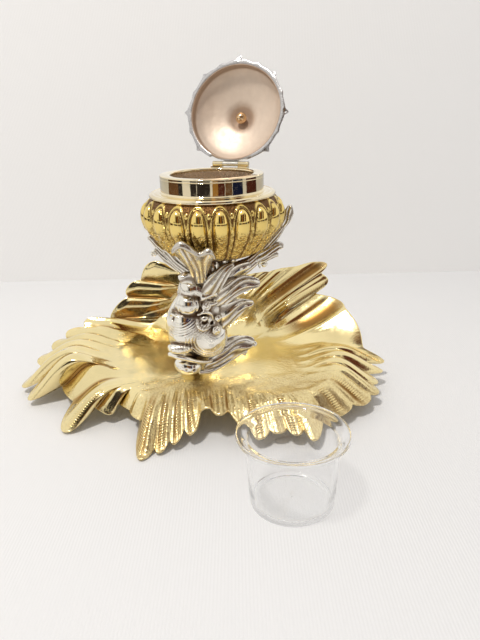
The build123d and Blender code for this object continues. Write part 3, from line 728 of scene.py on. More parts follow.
def make_finial():
    """A closed bud with eight petals on a waisted foot."""
    line = spline(
        [(0.4, LID_BOSS_Z + 0.9), (5.1, LID_BOSS_Z + 0.95), (4.6, LID_BOSS_Z + 1.9), (2.4, 16.9), (2.3, 17.9),
         (4.3, 19.6), (4.9, 21.4), (4.2, 23.9), (2.4, 26.0), (1.0, 27.4), (0.15, 27.95)], 90)
    angle = circle(192)
    petal = np.abs(np.cos(4 * angle))[:, None]
    swell = smooth(line[:, 1], 18.0, 20.0) * smooth(line[:, 1], 28.0, 24.5)
    radius = line[:, 0] * (1 - 0.16 * swell * (1 - petal) ** 1.5)
    # Painted shade: darker in the grooves between the petals.
    relief = 1 - 0.8 * swell * (1 - smooth(petal, 0.0, 0.45))
    bud = add_round("finial", lid_place, angle, radius, line[:, 1], "lid", silver_cast,
                    ["finial_bud"], relief, 0.2, closed=False)
    add_faces(bud, [np.arange(len(angle)) * len(line) + end for end in (0, len(line) - 1)])


make_lid_dome()
make_lid_border()
make_finial()
NUT_R = 2.8
nut_line = np.array([(NUT_R * math.sin(a) + 0.01, LID_BOSS_Z - 0.9 - NUT_R - NUT_R * math.cos(a))
                     for a in np.linspace(0.05, math.pi - 0.3, 24)])
nut_line = np.vstack([nut_line, [(0.9, LID_BOSS_Z - 0.1), (0.01, LID_BOSS_Z - 0.1)]])
turned("ball_nut", nut_line, lid_place, nut_gold, "lid", ["finial_nut"], 96)

# ---- Glass liner -----------------------------------------------------------------------------
liner_low, liner_high = node_box("glass_liner")
liner_place = Place((*((liner_low + liner_high)[:2] / 2), liner_low[2]), *UPRIGHT)
LINER_H = liner_high[2] - liner_low[2]
FLANGE_R = (liner_high[0] - liner_low[0]) / 2
turned("liner", rounded(
    [(0.01, 0.5), (13.5, 0.3, 3.0), (15.6, 0.0, 0.8), (17.2, 0.2, 1.4), (17.9, 10.0, 4.0),
     (18.6, LINER_H - 3.6, 3.0), (20.0, LINER_H - 2.0, 1.2), (FLANGE_R, LINER_H - 1.7, 0.8),
     (FLANGE_R, LINER_H, 0.8), (19.6, LINER_H - 0.15, 1.5), (17.6, LINER_H - 2.2, 2.2), (17.0, 12.0, 4.0),
     (16.1, 2.2, 1.6), (14.0, 1.5, 2.0), (0.01, 1.5)], 0.4, 7),
    liner_place, glass, "liner", ["glass_liner"], 256).visible_diffuse = False


# ---- Dolphin ---------------------------------------------------------------------------------
class Clay:
    """A block of space on a grid of distances. Forms are blended into it, then it is meshed."""

    def __init__(self, low, high, step):
        self.low, self.step = np.array(low, float), step
        size = np.ceil((np.array(high) - self.low) / step).astype(int) + 1
        self.axes = [self.low[k] + step * np.arange(size[k]) for k in range(3)]
        self.field = np.full(size, 50.0, np.float32)

    def window(self, low, high):
        """The part of the grid inside a box, as slices and its three coordinate arrays."""
        slices = []
        for k in range(3):
            a = int(np.searchsorted(self.axes[k], low[k]))
            b = int(np.searchsorted(self.axes[k], high[k]))
            slices.append(slice(max(a, 0), max(b, a + 1)))
        coordinates = np.meshgrid(*[self.axes[k][slices[k]] for k in range(3)], indexing="ij", sparse=True)
        return tuple(slices), coordinates

    def merge(self, distance, low, high, soft, cut):
        """Blend a form in, or cut it out, with an edge softened over soft millimetres."""
        sign, reach, spare = (-1, 2 * soft, 1) if cut else (1, 2.5 * soft, 2)
        where, place = self.window(low - reach - spare, high + reach + spare)
        d = sign * distance(*place).astype(np.float32)
        old = self.field[where]
        h = np.clip(0.5 + 0.5 * sign * (old - d) / soft, 0, 1)
        self.field[where] = old * (1 - h) + d * h - sign * soft * h * (1 - h)

    def engrave(self, depth, low, high):
        """Raise or lower the skin by depth(x, y, z), positive outwards."""
        where, (x, y, z) = self.window(low, high)
        self.field[where] -= depth(x, y, z).astype(np.float32)

    def egg(self, centre, radii, soft, tilt=0, cut=False):
        """A solid or a hollow with three radii, turned by degrees about Y."""
        centre, radii = np.array(centre, float), np.array(radii, float)
        spin = np.array(Matrix.Rotation(math.radians(tilt), 3, "Y"))

        def distance(x, y, z):
            x, y, z = x - centre[0], y - centre[1], z - centre[2]
            local = [spin[0, k] * x + spin[1, k] * y + spin[2, k] * z for k in range(3)]
            near = np.sqrt(sum((local[k] / radii[k]) ** 2 for k in range(3)))
            far = np.sqrt(sum((local[k] / radii[k] ** 2) ** 2 for k in range(3)))
            return near * (near - 1) / np.maximum(far, 1e-6)

        reach = radii.max()
        self.merge(distance, centre - reach, centre + reach, soft, cut)

    def rope(self, points, radii, soft, cut=False, count=None):
        """A tapering tube along a smooth line."""
        count = count or 6 * len(points)
        line = spline(points, count)
        radius = np.interp(np.linspace(0, 1, count), np.linspace(0, 1, len(radii)), radii)

        def distance(x, y, z):
            best = None
            for a, b, ra, rb in zip(line, line[1:], radius, radius[1:]):
                ab = b - a
                px, py, pz = x - a[0], y - a[1], z - a[2]
                t = np.clip((px * ab[0] + py * ab[1] + pz * ab[2]) / max(ab @ ab, 1e-9), 0, 1)
                away = np.sqrt((px - t * ab[0]) ** 2 + (py - t * ab[1]) ** 2 + (pz - t * ab[2]) ** 2)
                d = away - (ra + (rb - ra) * t)
                best = d if best is None else np.minimum(best, d)
            return best

        reach = radius.max()
        self.merge(distance, line.min(0) - reach, line.max(0) + reach, soft, cut)

    def curl(self, centre, normal, size, thick, turns, start):
        """A small scroll, wound outwards in the plane across normal, its heart standing out."""
        normal = unit(normal)
        line, t = spiral(centre, normal, (0.3, 0.2, 1.0), size, 0.12, turns, start, 16)
        line = line + normal * (0.9 * (1 - t))[:, None]
        self.rope(line, [thick * 1.25, thick, thick * 0.8], 0.4, count=24)

    def mesh(self):
        """Points, quads and a relief value, 0 in hollows and 1 on ridges, for painted shade in the hollows."""
        band = np.clip(self.field, -3 * self.step, 3 * self.step)
        grid = openvdb.FloatGrid(3 * self.step)
        grid.copyFromArray(band.astype(np.float32))
        points, quads = grid.convertToQuads(isovalue=0.0)
        soft = self.field.copy()
        for k in range(3):
            for reach in (2, 4):
                soft = (soft + np.roll(soft, reach, k) + np.roll(soft, -reach, k)) / 3
        index = np.clip(np.round(points).astype(int), 0, np.array(self.field.shape) - 1)
        bend = (soft - self.field)[index[:, 0], index[:, 1], index[:, 2]]
        return self.low + points * self.step, quads, smooth(bend, -0.34, 0.12)


def make_dolphin():
    clay = Clay((-19, -51, 17), (24, -4, 84), 0.36)
    # Trunk: chest on the tray, skull, nape and the neck that carries the bowl.
    clay.egg((-3, -20, 25), (9, 9, 8), 3)
    clay.egg((-0.5, -28.5, 51.5), (11.6, 13.5, 13.5), 3)
    clay.egg((2, -25, 37), (10.5, 9, 12), 3)
    clay.egg((6.5, -31.5, 57), (7.6, 8, 11), 3)
    clay.egg((3, -33.5, 66), (6.6, 7, 8), 3)
    clay.rope([(1, -29, 60), (3.5, -31.5, 69), (7, -28.5, 77), (10, -25, 82)], [10, 9.2, 8.8, 9.5], 3)
    # Face: one broad front, with the bridge, the nose and the cheeks in low relief on it.
    clay.egg((-2.6, -30, 48.5), (12.8, 13.8, 15), 3)
    clay.egg((4.8, -31.5, 42), (10.4, 10.6, 10.6), 3)
    clay.egg((-5.6, -37.6, 51), (5.6, 7.6, 9), 3)
    clay.egg((-6, -42, 46.4), (4.8, 3.4, 3.8), 2)
    clay.egg((-9.2, -36, 43.6), (4.2, 6.4, 6.2), 2)
    # Forehead boss, and the block above it.
    clay.egg((-1.6, -38.2, 68.6), (4.6, 4.8, 5), 2)
    clay.egg((-2.9, -39.8, 62.4), (6.4, 6.4, 5.4), 0.4)
    clay.rope([(-9.2, -41, 58.6), (-6.6, -45, 57.2), (-2.8, -46.4, 56.8), (1.2, -44.8, 57.4),
               (3.4, -41.4, 59.2)], [0.4, 0.55, 0.6, 0.55, 0.4], 0.25, cut=True)
    # Upper lip, the thin lip line under it that sweeps round the cheek, and the chin.
    clay.rope([(-12.2, -41, 40.2), (-10.4, -43.6, 40.8), (-8, -44.4, 41), (-5.6, -43.6, 40.6),
               (-3.8, -41.8, 40)], [2, 2.4, 2.5, 2.4, 2], 0.5)
    clay.rope([(-13.2, -40.4, 36.4), (-9, -43.6, 36.6), (-4.8, -42.6, 34.8), (-0.4, -40, 32.2),
               (5.4, -36.4, 30.2), (11.4, -32, 31.4)], [1.2, 1.3, 1.2, 1.1, 1, 0.8], 0.8)
    clay.egg((-5, -36.8, 28.6), (7, 6, 4.6), 1, tilt=12)
    clay.rope([(-12.2, -39.6, 33.4), (-6.6, -42.2, 33), (-1, -39.8, 30.4)],
              [0.5, 0.8, 0.5], 0.4, cut=True)
    for pit in ((-8.6, -42.4, 29.6), (-5.4, -43, 28.8), (-1.8, -41.4, 28.2)):
        clay.egg(pit, (0.7, 0.8, 0.6), 0.5, cut=True)
    # Right eye: a hooded socket with two pits and the ball between.
    clay.egg((4.6, -42.4, 57.1), (1.5, 2.6, 1), 0.3, cut=True)
    clay.egg((5, -42.2, 53.1), (1.8, 2.6, 1.1), 0.3, cut=True)
    clay.egg((4.3, -40.6, 55.2), (2.2, 2.2, 1.7), 0.3)
    clay.rope([(1.6, -42.2, 57.6), (4.6, -42.2, 58.8), (7.4, -40.6, 57.4), (8.6, -39, 54.6)],
              [0.6, 0.9, 0.9, 0.6], 0.4)
    clay.rope([(1.2, -43, 55.6), (1.6, -43.6, 52), (4, -42.8, 50), (7, -41, 50.6)],
              [0.5, 0.8, 0.8, 0.5], 0.4)
    clay.egg((-10.4, -40.4, 55), (1.2, 1.2, 1.2), 0.6, cut=True)
    clay.rope([(-8.2, -42.6, 56.8), (-10.8, -40, 57.2), (-12, -37, 55.8)], [0.5, 0.7, 0.5], 0.4)
    # Scrolls beside the eye.
    clay.curl((5.4, -40.6, 61.4), (0.45, -0.88, 0.1), 2.4, 0.7, 1.5, 0.6)
    clay.curl((10.8, -38.6, 54.6), (0.66, -0.74, 0.1), 1.8, 0.8, 1.2, 2)
    clay.curl((9.9, -40, 48.9), (0.62, -0.78, 0), 2.3, 0.85, 1.3, 1)
    clay.curl((-11.4, -36, 50.2), (-0.95, -0.3, 0), 1.8, 0.7, 1.2, 0)
    clay.egg((7.6, -38.8, 52.2), (0.9, 1.4, 1.1), 0.3, cut=True)
    # Brow: a leaf that stands off the head, dark beneath.
    clay.rope([(3.4, -40.6, 64.8), (6.6, -40.4, 66.4), (10.2, -38.6, 66.8), (13.2, -36, 65.6)],
              [1, 1.5, 1.4, 0.8], 0.6)
    clay.rope([(5, -40, 62.6), (8.4, -39.2, 61.8), (11.6, -37.2, 62.2)], [0.6, 1.1, 0.7], 0.5)
    clay.egg((9.2, -40.2, 64.2), (3.2, 3, 1.1), 0.3, cut=True)
    for bead in ((-11.2, -38, 58.6), (-12, -38, 46.8), (-12.2, -38.2, 43.4)):
        clay.egg(bead, (1, 1.3, 1), 0.5)

    def skin(x, y, z):
        """Chased lines: arcs round the cheek, flutes on the boss, lip, bridge, neck and nape."""
        right, up = x - 6.5, z - 43.5
        ring = np.sqrt(right**2 + up**2)
        on_cheek = smooth(-right * 0.45 - up, -1.0, 3.5) * smooth(ring, 5.0, 6.2) * smooth(ring, 13.5, 11.0)
        on_cheek = on_cheek * smooth(-y, 29.0, 32.0) * smooth(z, 29.0, 31.0)
        cheek = 0.22 * np.cos(ring * 2 * math.pi / 1.45) * on_cheek
        beads = 0.22 * np.cos(np.arctan2(up, right) * 46) * np.exp(-((ring - 8.7) / 0.4) ** 2) * on_cheek
        turn = np.abs(np.arctan2(x + 2.9, -(y + 33.0)))
        helmet = smooth(z, 57.6, 58.6) * smooth(z, 67.0, 65.6) * smooth(-y, 38.0, 40.0)
        flute = -0.45 * np.exp(-((turn - 0.34) / 0.05) ** 2) - 0.45 * np.exp(-((turn - 0.54) / 0.05) ** 2)
        lip = 0.22 * np.cos((x + 0.3 * y) * 2 * math.pi / 1.25) * smooth(z, 38.6, 39.6)
        lip = lip * smooth(z, 43.6, 42.6) * smooth(-y, 40.5, 42.5) * smooth(x, -2.6, -4.0)
        bridge = 0.09 * np.cos(np.sqrt((x + 9.0) ** 2 + (z - 66.0) ** 2) * 2 * math.pi / 1.3)
        bridge = bridge * smooth(z, 46.0, 48.0) * smooth(z, 56.0, 54.5) * smooth(-y, 38.0, 40.5)
        around = np.arctan2(y + 26.0, x - 5.0)
        neck = 0.42 * np.cos(around * 13 + z * 0.42) * smooth(z, 63.0, 68.0) * smooth(z, 82.8, 80.0)
        neck = neck * (1 - smooth(x, 2.0, -1.0) * smooth(-y, 38.0, 40.0))
        back = 0.45 * np.cos(np.arctan2(y + 27.0, x) * 13 + z * 0.35)
        back = back * smooth(y, -29.0, -23.0) * smooth(z, 66.0, 60.0)
        return cheek + beads + helmet * flute + lip + bridge + neck + back

    clay.engrave(skin, (-19, -51, 20), (24, -4, 84))
    points, quads, relief = clay.mesh()
    points[:, 2] = np.maximum(points[:, 2], PAN_Z)
    # Painted shade: the material darkens the dolphin's hollows by this relief.
    add_piece("dolphin", points, quads[:, ::-1], "stand", silver_cast, ["dolphin_body"],
              relief, smooth(relief, 0.75, 0.3) * 0.5)


make_dolphin()


# ---- Leaves, fins and fronds -----------------------------------------------------------------
def leaf_sheet(spines, flutes=4, thick=1.3, depth=0.5, length_steps=72, across_steps=56):
    """A closed, fluted leaf through a few lines from its root to its tip, edge to edge.

    Its front has round valleys between thin ridges, and faces the side from which the lines run
    anticlockwise.
    """
    lines = np.array([spline(spine, length_steps) for spine in spines])
    half = across_steps // 2
    sheet = np.array([spline(lines[:, k], half) for k in range(length_steps)])
    normal = unit(np.cross(np.gradient(sheet, axis=1), np.gradient(sheet, axis=0)))
    across = np.linspace(-1, 1, half)
    share = np.linspace(0, 1, length_steps)[:, None]
    tip_out = np.maximum(share - 0.93, 0) / 0.07
    edge = np.sqrt(np.clip(1 - across**6, 0.02, 1)) * np.sqrt(np.clip(1 - tip_out**2, 0.02, 1))
    drift = 0.16 * np.sin(share * 7.0 + across * 2.0 + flutes)
    ridge = 1 - np.abs(np.cos((across + drift) * math.pi * flutes / 2)) ** 1.1
    grow = smooth(share, 0.0, 0.2) * smooth(share, 1.05, 0.8)
    front = sheet + normal * (edge * thick / 2 + depth * ridge * edge * grow)[..., None]
    back = sheet - normal * (edge * thick / 2)[..., None]
    points = np.concatenate([front, back[:, ::-1]], 1)
    # Painted shade: the valleys of the front are darkened, and the whole back is held a little dark.
    relief = np.concatenate([0.25 + 0.75 * smooth(ridge, 0.0, 0.5), np.full((length_steps, half), 0.6)], 1)
    return points, relief


def leaf_lobe(spine, widths, face, flutes=3, thick=1.1, depth=0.4, cup=0.2):
    """A leaf from a middle line and its half-widths. face is the way its front looks at root and tip."""
    line = spline(spine, 24)
    share = np.linspace(0, 1, 24)
    width = np.interp(share, np.linspace(0, 1, len(widths)), widths)[:, None]
    near, far = np.array(face, float)
    front = unit(near + (far - near) * share[:, None])
    side = unit(np.cross(unit(np.gradient(line, axis=0)), front))
    lines = [(line + side * width * k - front * width * cup * k**2) for k in (-1, -0.5, 0, 0.5, 1)]
    return leaf_sheet(lines, flutes, thick, depth, 60, 40)


def tube(line, radius, sides=18):
    """A closed wire along a line, narrowed at both ends."""
    line = np.asarray(line, float)
    along = unit(np.gradient(line, axis=0))
    side = unit(np.cross(along, np.array([0.21, 0.37, 0.9])))
    up = np.cross(side, along)
    angle = circle(sides)
    ring = np.cos(angle)[None, :, None] * side[:, None, :] + np.sin(angle)[None, :, None] * up[:, None, :]
    radius = np.broadcast_to(np.asarray(radius, float), (len(line),)).copy()
    radius[[0, -1]] *= 0.3
    return line[:, None, :] + ring * radius[:, None, None], np.ones((len(line), sides))


def scroll(centre, normal, size, thick, turns=1.2, start=0.0):
    """A rolled tip: a tapering wire wound into a small spiral."""
    line, t = spiral(centre, unit(normal), (0.31, 0.17, 1.0), size, 0.1, turns, start, 60)
    return tube(line, thick * (1.3 - 0.7 * t))


def ball(centre, radius):
    """A small closed knob."""
    shape = unit_bead(20, 14).swapaxes(0, 1)
    return np.array(centre) + shape * radius, np.ones(shape.shape[:2])


def add_lobes(name, grids, replaces):
    """Join closed strips of points into one piece, capping both ends of each."""
    points, faces, relief, start = [], [], [], 0
    for grid, shade in grids:
        rows, columns = grid.shape[:2]
        points.append(grid.reshape(-1, 3))
        relief.append(shade.ravel())
        faces.append(grid_faces(rows, columns, False, True, start))
        for row, turn in ((0, 1), (rows - 1, -1)):
            ring = start + row * columns + np.arange(columns)
            pairs = [(ring[k], ring[k + 1], ring[-k - 2], ring[-k - 1]) for k in range(columns // 2 - 1)]
            faces.append(np.array(pairs)[:, ::turn])
        start += rows * columns
    relief = np.concatenate(relief)
    piece = add_piece(name, np.vstack(points), np.vstack(faces), "stand", silver_cast, replaces,
                      relief, relief * 0.3)
    add_faces(piece, [])


# The way the front of a leaf looks at its root and at its tip.
LEFT_FACE, UP_FACE = ((-1, -0.2, 0.1), (-1, 0, 0.2)), ((0, -0.9, 0.4), (0.2, -0.8, 0.5))

add_lobes("crest", [
    leaf_sheet([
        [(0.5, -41.5, 74), (-1, -45.5, 80), (-3.2, -50, 85.5), (-5.8, -55, 91), (-6.8, -58, 93),
         (-6.6, -59.5, 92)],
        [(1.5, -42.5, 74), (0.3, -46.5, 80.5), (-1, -51, 87), (-2.6, -56, 94), (-3, -59.5, 96.6),
         (-2.8, -61.2, 94.6)],
        [(2.5, -43, 74), (2, -47, 80.5), (1.4, -51.5, 87), (0.8, -56, 92.6), (0.6, -59.2, 94.8),
         (0.6, -60.8, 93)],
        [(3.5, -43, 74), (3.8, -46.5, 80.5), (4.2, -50.5, 86), (4.5, -54.5, 89.8), (4.6, -57.4, 91.4),
         (4.6, -58.8, 90)],
        [(4.5, -42.5, 74), (5.8, -46, 80), (7.2, -50, 86), (8.4, -54.5, 91), (9, -58, 93.2),
         (9, -59.8, 91.4)],
        [(5.2, -41.5, 74), (7.2, -45, 79), (9, -48.5, 83.5), (10.4, -52, 87.5), (11.2, -55, 89.4),
         (11.4, -56.6, 88)],
    ], 4, 1.9, 0.8, 90, 90),
    leaf_sheet([
        [(0.5, -41.5, 71.5), (-1, -44, 72.8), (-3, -45.4, 74.2), (-4.8, -45.8, 75.4)],
        [(1.4, -42.5, 74.5), (-1.4, -46, 76.2), (-3.8, -47.2, 76.8), (-5.6, -46.6, 76.4)],
        [(2, -41, 77.5), (-1.4, -44.5, 79.8), (-4.2, -45.8, 79.4), (-6.2, -45.2, 77.8)],
    ], 2, 1.4, 0.4),
], ["crest_leaf"])

add_lobes("gill_fin_outer", [
    leaf_sheet([
        [(9, -34, 57), (13, -37, 61), (17.5, -36, 62.6), (22.5, -34, 62.2), (27.8, -32, 60.6)],
        [(9.5, -35, 50), (14.5, -37, 54), (19.5, -35.8, 57.4), (24, -33.6, 59.2), (28.4, -31.8, 59.6)],
        [(10, -32, 42), (15.2, -33.5, 47.5), (20.2, -33, 52.5), (24.8, -32.2, 56.4), (28.3, -31.5, 58.6)],
    ], 3, 1.5, 0.9),
    leaf_sheet([
        [(8, -36, 67), (13, -38.5, 71.5), (18.5, -37, 74.4), (24.5, -34.5, 74.2), (31, -32, 71.4)],
        [(8.5, -37, 61), (15, -39, 66), (21, -37.5, 69.2), (26.5, -35, 70.6), (31.6, -33, 69.8)],
        [(9, -34, 54), (16, -36, 60.5), (22, -35.5, 65), (27, -34, 67.2), (31.2, -33.2, 67.8)],
    ], 4, 1.5, 0.9),
    leaf_sheet([
        [(7, -35, 71), (12, -36.8, 77), (18.5, -35, 80.4), (26, -31.6, 80.4)],
        [(8.5, -36, 68.5), (14.5, -37, 74.4), (20.5, -34.8, 77.8), (27.4, -31.2, 78.8)],
        [(10, -34, 66), (16, -35, 71), (21.5, -33.5, 74.6), (27.2, -31, 77)],
    ], 2, 1.5, 0.7),
    leaf_sheet([
        [(2.5, -40, 67), (5.5, -42.6, 73.5), (9.5, -43, 78.5), (14, -41.8, 81.4), (18.4, -40, 82.6)],
        [(5.5, -39.5, 65), (9.5, -41.8, 72), (13.5, -41.6, 77.4), (16.6, -40.4, 80.6), (19, -39.4, 81.6)],
        [(8.5, -37, 63), (13, -39.4, 69.6), (16.4, -39, 75.4), (18.4, -38.6, 79), (19.4, -38.6, 80.6)],
    ], 3, 1.5, 0.8),
], ["gill_fin_right"])

add_lobes("gill_fin_inner", [
    leaf_lobe([(-6, -25, 50), (-9, -18, 55), (-10, -11, 60), (-8, -4, 64), (-8, 0, 66)],
              [6, 6.4, 5.4, 3.6, 1.4], LEFT_FACE, 5),
    leaf_lobe([(-6, -24, 43), (-9, -17, 46), (-9.6, -10, 49), (-8, -4, 52)], [5, 5.4, 4, 1.4],
              LEFT_FACE, 4),
    leaf_lobe([(-4, -26, 58), (-7.5, -19, 64), (-7.5, -12, 70), (-6, -8, 74)], [5, 5.4, 4.4, 1.5],
              LEFT_FACE, 4),
    leaf_lobe([(-1, -19, 55), (-1, -12, 62), (0, -7, 68), (1, -4, 73)], [6, 6.4, 5, 1.5],
              [(-0.2, 1, 0.1), (0, 1, 0.2)], 5),
    leaf_lobe([(6, -20, 49), (7, -12, 56), (8, -6, 62), (9, -3, 67)], [6, 6.4, 5, 1.5],
              [(0.3, 1, 0.1), (0.3, 1, 0.2)], 5),
], ["gill_fin_left"])

add_lobes("pectoral_fin_outer", [
    leaf_sheet([
        [(8, -30, 36), (13, -29.5, 39), (18.5, -26.8, 39.8), (24, -23.8, 38.4), (28.4, -22.6, 36.4)],
        [(6, -34, 32.5), (12.5, -32.8, 35), (18, -29.4, 36.4), (23.5, -26.2, 36.2), (28.8, -24.2, 35.2)],
        [(4, -36, 28.5), (11, -34.2, 30.5), (17, -30.8, 32.5), (22.6, -27.6, 33.6), (28.2, -25.2, 33.6)],
        [(2, -35.5, 24.5), (9.5, -33.8, 26), (15, -30.8, 28), (20.4, -27.7, 30.4), (24.4, -26, 31.2)],
    ], 4, 2, 0.8),
    tube(spline([(0, -36.5, 24.2), (6, -35.4, 24.4), (12, -32.6, 26.2), (18, -29.2, 28.8),
                 (23, -26.6, 30.6)], 50), np.linspace(1.3, 0.9, 50)),
    scroll((28.4, -24.6, 33.6), (0.15, -1, 0.1), 1.9, 0.8), ball((28.4, -25.2, 33.6), 1.15),
    scroll((23.6, -26.4, 30.4), (0.15, -1, 0.1), 1.7, 0.8, start=1), ball((23.6, -27, 30.4), 1.05),
], ["pectoral_fin_right"])

add_lobes("pectoral_fin_inner", [
    leaf_lobe([(-8, -24, 23), (-10, -17, 25), (-10, -9, 29), (-8.5, -1, 33), (-7, 4, 35)],
              [3.6, 5.4, 5.6, 4, 1.8], [(-1, -0.1, 0.3), (-1, 0, 0.4)], 6, 1.6),
    tube(spline([(-8, -23, 19.6), (-10.6, -14, 20.4), (-11, -5, 23.2), (-10, 1, 26)], 40),
         np.linspace(1.2, 0.8, 40)),
    scroll((-7.6, 4.4, 33.6), (-1, 0, 0.2), 1.8, 0.8), ball((-8.2, 4.4, 33.6), 1.1),
    scroll((-10, 1.2, 25.6), (-1, 0, 0.2), 1.6, 0.7), ball((-10.6, 1.2, 25.6), 1),
], ["pectoral_fin_left"])

add_lobes("tail_frond_outer", [
    leaf_lobe([(12, -30, 71), (20, -30.5, 75), (28, -28.4, 79), (35, -26.6, 85), (40.2, -25.6, 91),
               (43.6, -25.2, 96)],
              [5, 4.6, 3, 1.9, 1.4, 1.1], ((0, -1, 0), (0.3, -0.9, 0.1)), 4, 1.6),
    leaf_lobe([(43.2, -25.2, 95), (44.8, -25.1, 98.8), (45.9, -25, 102), (46.6, -25, 105.5)],
              [1, 2.4, 2.3, 0.7], [(-0.3, -1, 0), (-0.3, -1, 0)], 3, 2.6, 0.4, 0.15),
    leaf_lobe([(29, -28, 80), (34, -27.8, 83.2), (38.2, -27, 85.2), (41.6, -26.4, 86.4),
               (42.6, -26.2, 84.8)],
              [2.2, 3, 2.6, 1.7, 0.8], UP_FACE, 3, 1.4),
    leaf_lobe([(31, -28, 79), (34.4, -27.8, 80.8), (38, -27.2, 81.9), (40.8, -27, 82)], [1.5, 1.9, 1.6, 0.8],
              UP_FACE, 2, 1.3),
    scroll((33.6, -27, 77.4), (0.1, -1, 0), 2.4, 0.75, 1.1, 0.6), ball((33.6, -27.4, 77.4), 1),
], ["tail_frond_right"])

add_lobes("tail_frond_inner", [
    leaf_lobe([(4, -34, 70), (-2, -35, 76), (-8, -33, 81), (-12.2, -30.5, 84.6), (-14.6, -29.5, 85.2)],
              [4, 4, 3.2, 2.1, 1], [(-0.2, -1, 0), (-0.5, -0.8, 0.2)], 4),
    leaf_lobe([(2, -28, 72), (-6, -28, 77), (-13, -26.4, 81.4), (-17.4, -25, 85.6), (-19, -24.6, 86.4)],
              [4, 3.8, 3, 2, 0.9], [(-0.2, -1, 0.1), (-0.6, -0.7, 0.3)], 3),
    leaf_lobe([(-13, -26, 82), (-17.4, -25, 86), (-20.2, -24.6, 90), (-21.6, -24.4, 92)],
              [1.6, 2.1, 1.8, 0.8], [(-0.6, -0.8, 0.1), (-0.8, -0.6, 0.2)], 2),
    scroll((-19.4, -24.8, 83.4), (-0.3, -1, 0), 1.7, 0.6), ball((-20.8, -24.6, 92.6), 0.9),
], ["tail_frond_left"])

add_lobes("tail_frond_rear", [
    leaf_lobe([(9, -21, 69), (9.5, -12, 74.5), (10, -4, 80), (10.5, 2, 86), (10.8, 6, 90.4), (10.8, 8, 89)],
              [5, 5.6, 6, 4.8, 3.2, 1.6], [(0, 1, -0.5), (0, 0.9, -0.3)], 5, 1.4),
    leaf_lobe([(6, -20, 69), (3, -12, 75), (0, -6, 79.6), (-2.6, -2, 84)], [4, 4.4, 3.6, 1.3],
              [(-0.4, 1, -0.5), (-0.4, 0.9, -0.3)], 4),
    leaf_lobe([(13, -20, 69), (16, -12, 75), (20, -6, 79.6), (23, -2, 84)], [4, 4.4, 3.6, 1.3],
              [(0.4, 1, -0.5), (0.4, 0.9, -0.3)], 4),
], ["tail_frond_back"])

# ---- CAD pieces that keep their own shape ----------------------------------------------------
KEPT = [
    (gilt_polished, ["foot_ring", "base_plate", "bowl_foot", "collar_hinge_leaf"]),
    (gilt_inside, ["well_sleeve"]), (silver_plain, ["lid_hinge_leaf"]),
    (plain_brass, ["base_screws", "dolphin_stud", "stud_washer", "stud_nut", "bowl_screw", "hinge_pin"]),
]
for finish, nodes in KEPT:
    for node in nodes:
        for place in frame["nodes"][node].material_slots:
            place.material = finish


# ---- Studio ----------------------------------------------------------------------------------
CAMERA_AT = (0.0215, -0.2908, 0.1525)
CAMERA_PITCH = 21.53
CAMERA_ROLL = -1.34
CAMERA_FOCUS = 31.57
STAGE_SIZE = 6.0
WALL_Y = 0.205


def make_camera():
    data = bpy.data.cameras.new("camera")
    data.lens = CAMERA_FOCUS
    data.sensor_width = 36.0
    camera = bpy.data.objects.new("camera", data)
    bpy.context.scene.collection.objects.link(camera)
    tilt = Matrix.Rotation(math.radians(90 - CAMERA_PITCH), 4, "X")
    roll = Matrix.Rotation(math.radians(CAMERA_ROLL), 4, "Z")
    camera.matrix_world = Matrix.Translation(CAMERA_AT) @ tilt @ roll
    bpy.context.scene.camera = camera


def matte(name, colour, mottle, paler, roughness):
    """The node tree of a dull surface that mirrors nothing."""
    n = Nodes(bpy.data.materials.new(name))
    n.feed("Base Color", n.blend(n.noise(mottle), dimmed(colour, paler), rgb(*colour)))
    n.feed("Roughness", roughness)
    n.feed("Specular IOR Level", 0.0)
    return n


def stage_plane(name, centre, turn, colour):
    bpy.ops.mesh.primitive_plane_add(size=STAGE_SIZE, location=centre, rotation=turn)
    plane = bpy.context.object
    plane.name = name
    n = matte(name, colour, 7.0, 0.985, 0.8)
    weave = n.add("ShaderNodeTexWave", {"Vector": n.place, "Scale": 260.0, "Distortion": 0.6})
    n.feed("Normal", n.bump(weave.outputs["Fac"], 0.12, 0.0003))
    # Its back is clear, so the object can be seen from behind the wall.
    n.clear_where(n.add("ShaderNodeNewGeometry").outputs["Backfacing"])
    plane.data.materials.append(n.owner)
    return plane


def key_light(place, size, power, colour):
    """A round lamp that looks at the middle of the foot."""
    data = bpy.data.lights.new("key", "AREA")
    data.shape = "DISK"
    data.size = size
    data.energy = power
    data.color = colour
    lamp = bpy.data.objects.new("key", data)
    lamp.location = place
    lamp.rotation_euler = (-Vector(place)).to_track_quat("-Z", "Y").to_euler()
    bpy.context.scene.collection.objects.link(lamp)


# What the metal mirrors in front of it, from left to right: where each band starts, from 0 to 1,
# and its colour.
CREAM, WALNUT, DARK, MAROON, NAVY, AMBER = (
    (0.95, 0.90, 0.80), (0.17, 0.09, 0.045), (0.035, 0.03, 0.03), (0.10, 0.03, 0.02), (0.014, 0.018, 0.06),
    (0.42, 0.22, 0.06))
ROOM = [(0.0, CREAM), (0.10, WALNUT), (0.22, DARK), (0.27, CREAM), (0.31, DARK), (0.50, AMBER),
        (0.56, MAROON), (0.62, WALNUT), (0.70, NAVY), (0.79, CREAM), (0.83, MAROON), (0.93, CREAM)]
# How far the room reaches in the mirrored directions: each pair is where it starts to show and
# where it shows fully, as a part of a direction's unit length.
ROOM_AHEAD, ROOM_FLOOR, ROOM_CEILING = (0.04, -0.16), (0.0, 0.12), (0.84, 0.70)
WINDOW_LEFT, WINDOW_SILL = (-0.36, -0.60), (0.05, 0.25)
EVEN_LIGHT, BRIGHT_ROOM = rgb(0.51, 0.51, 0.52), rgb(0.95, 0.94, 0.92)
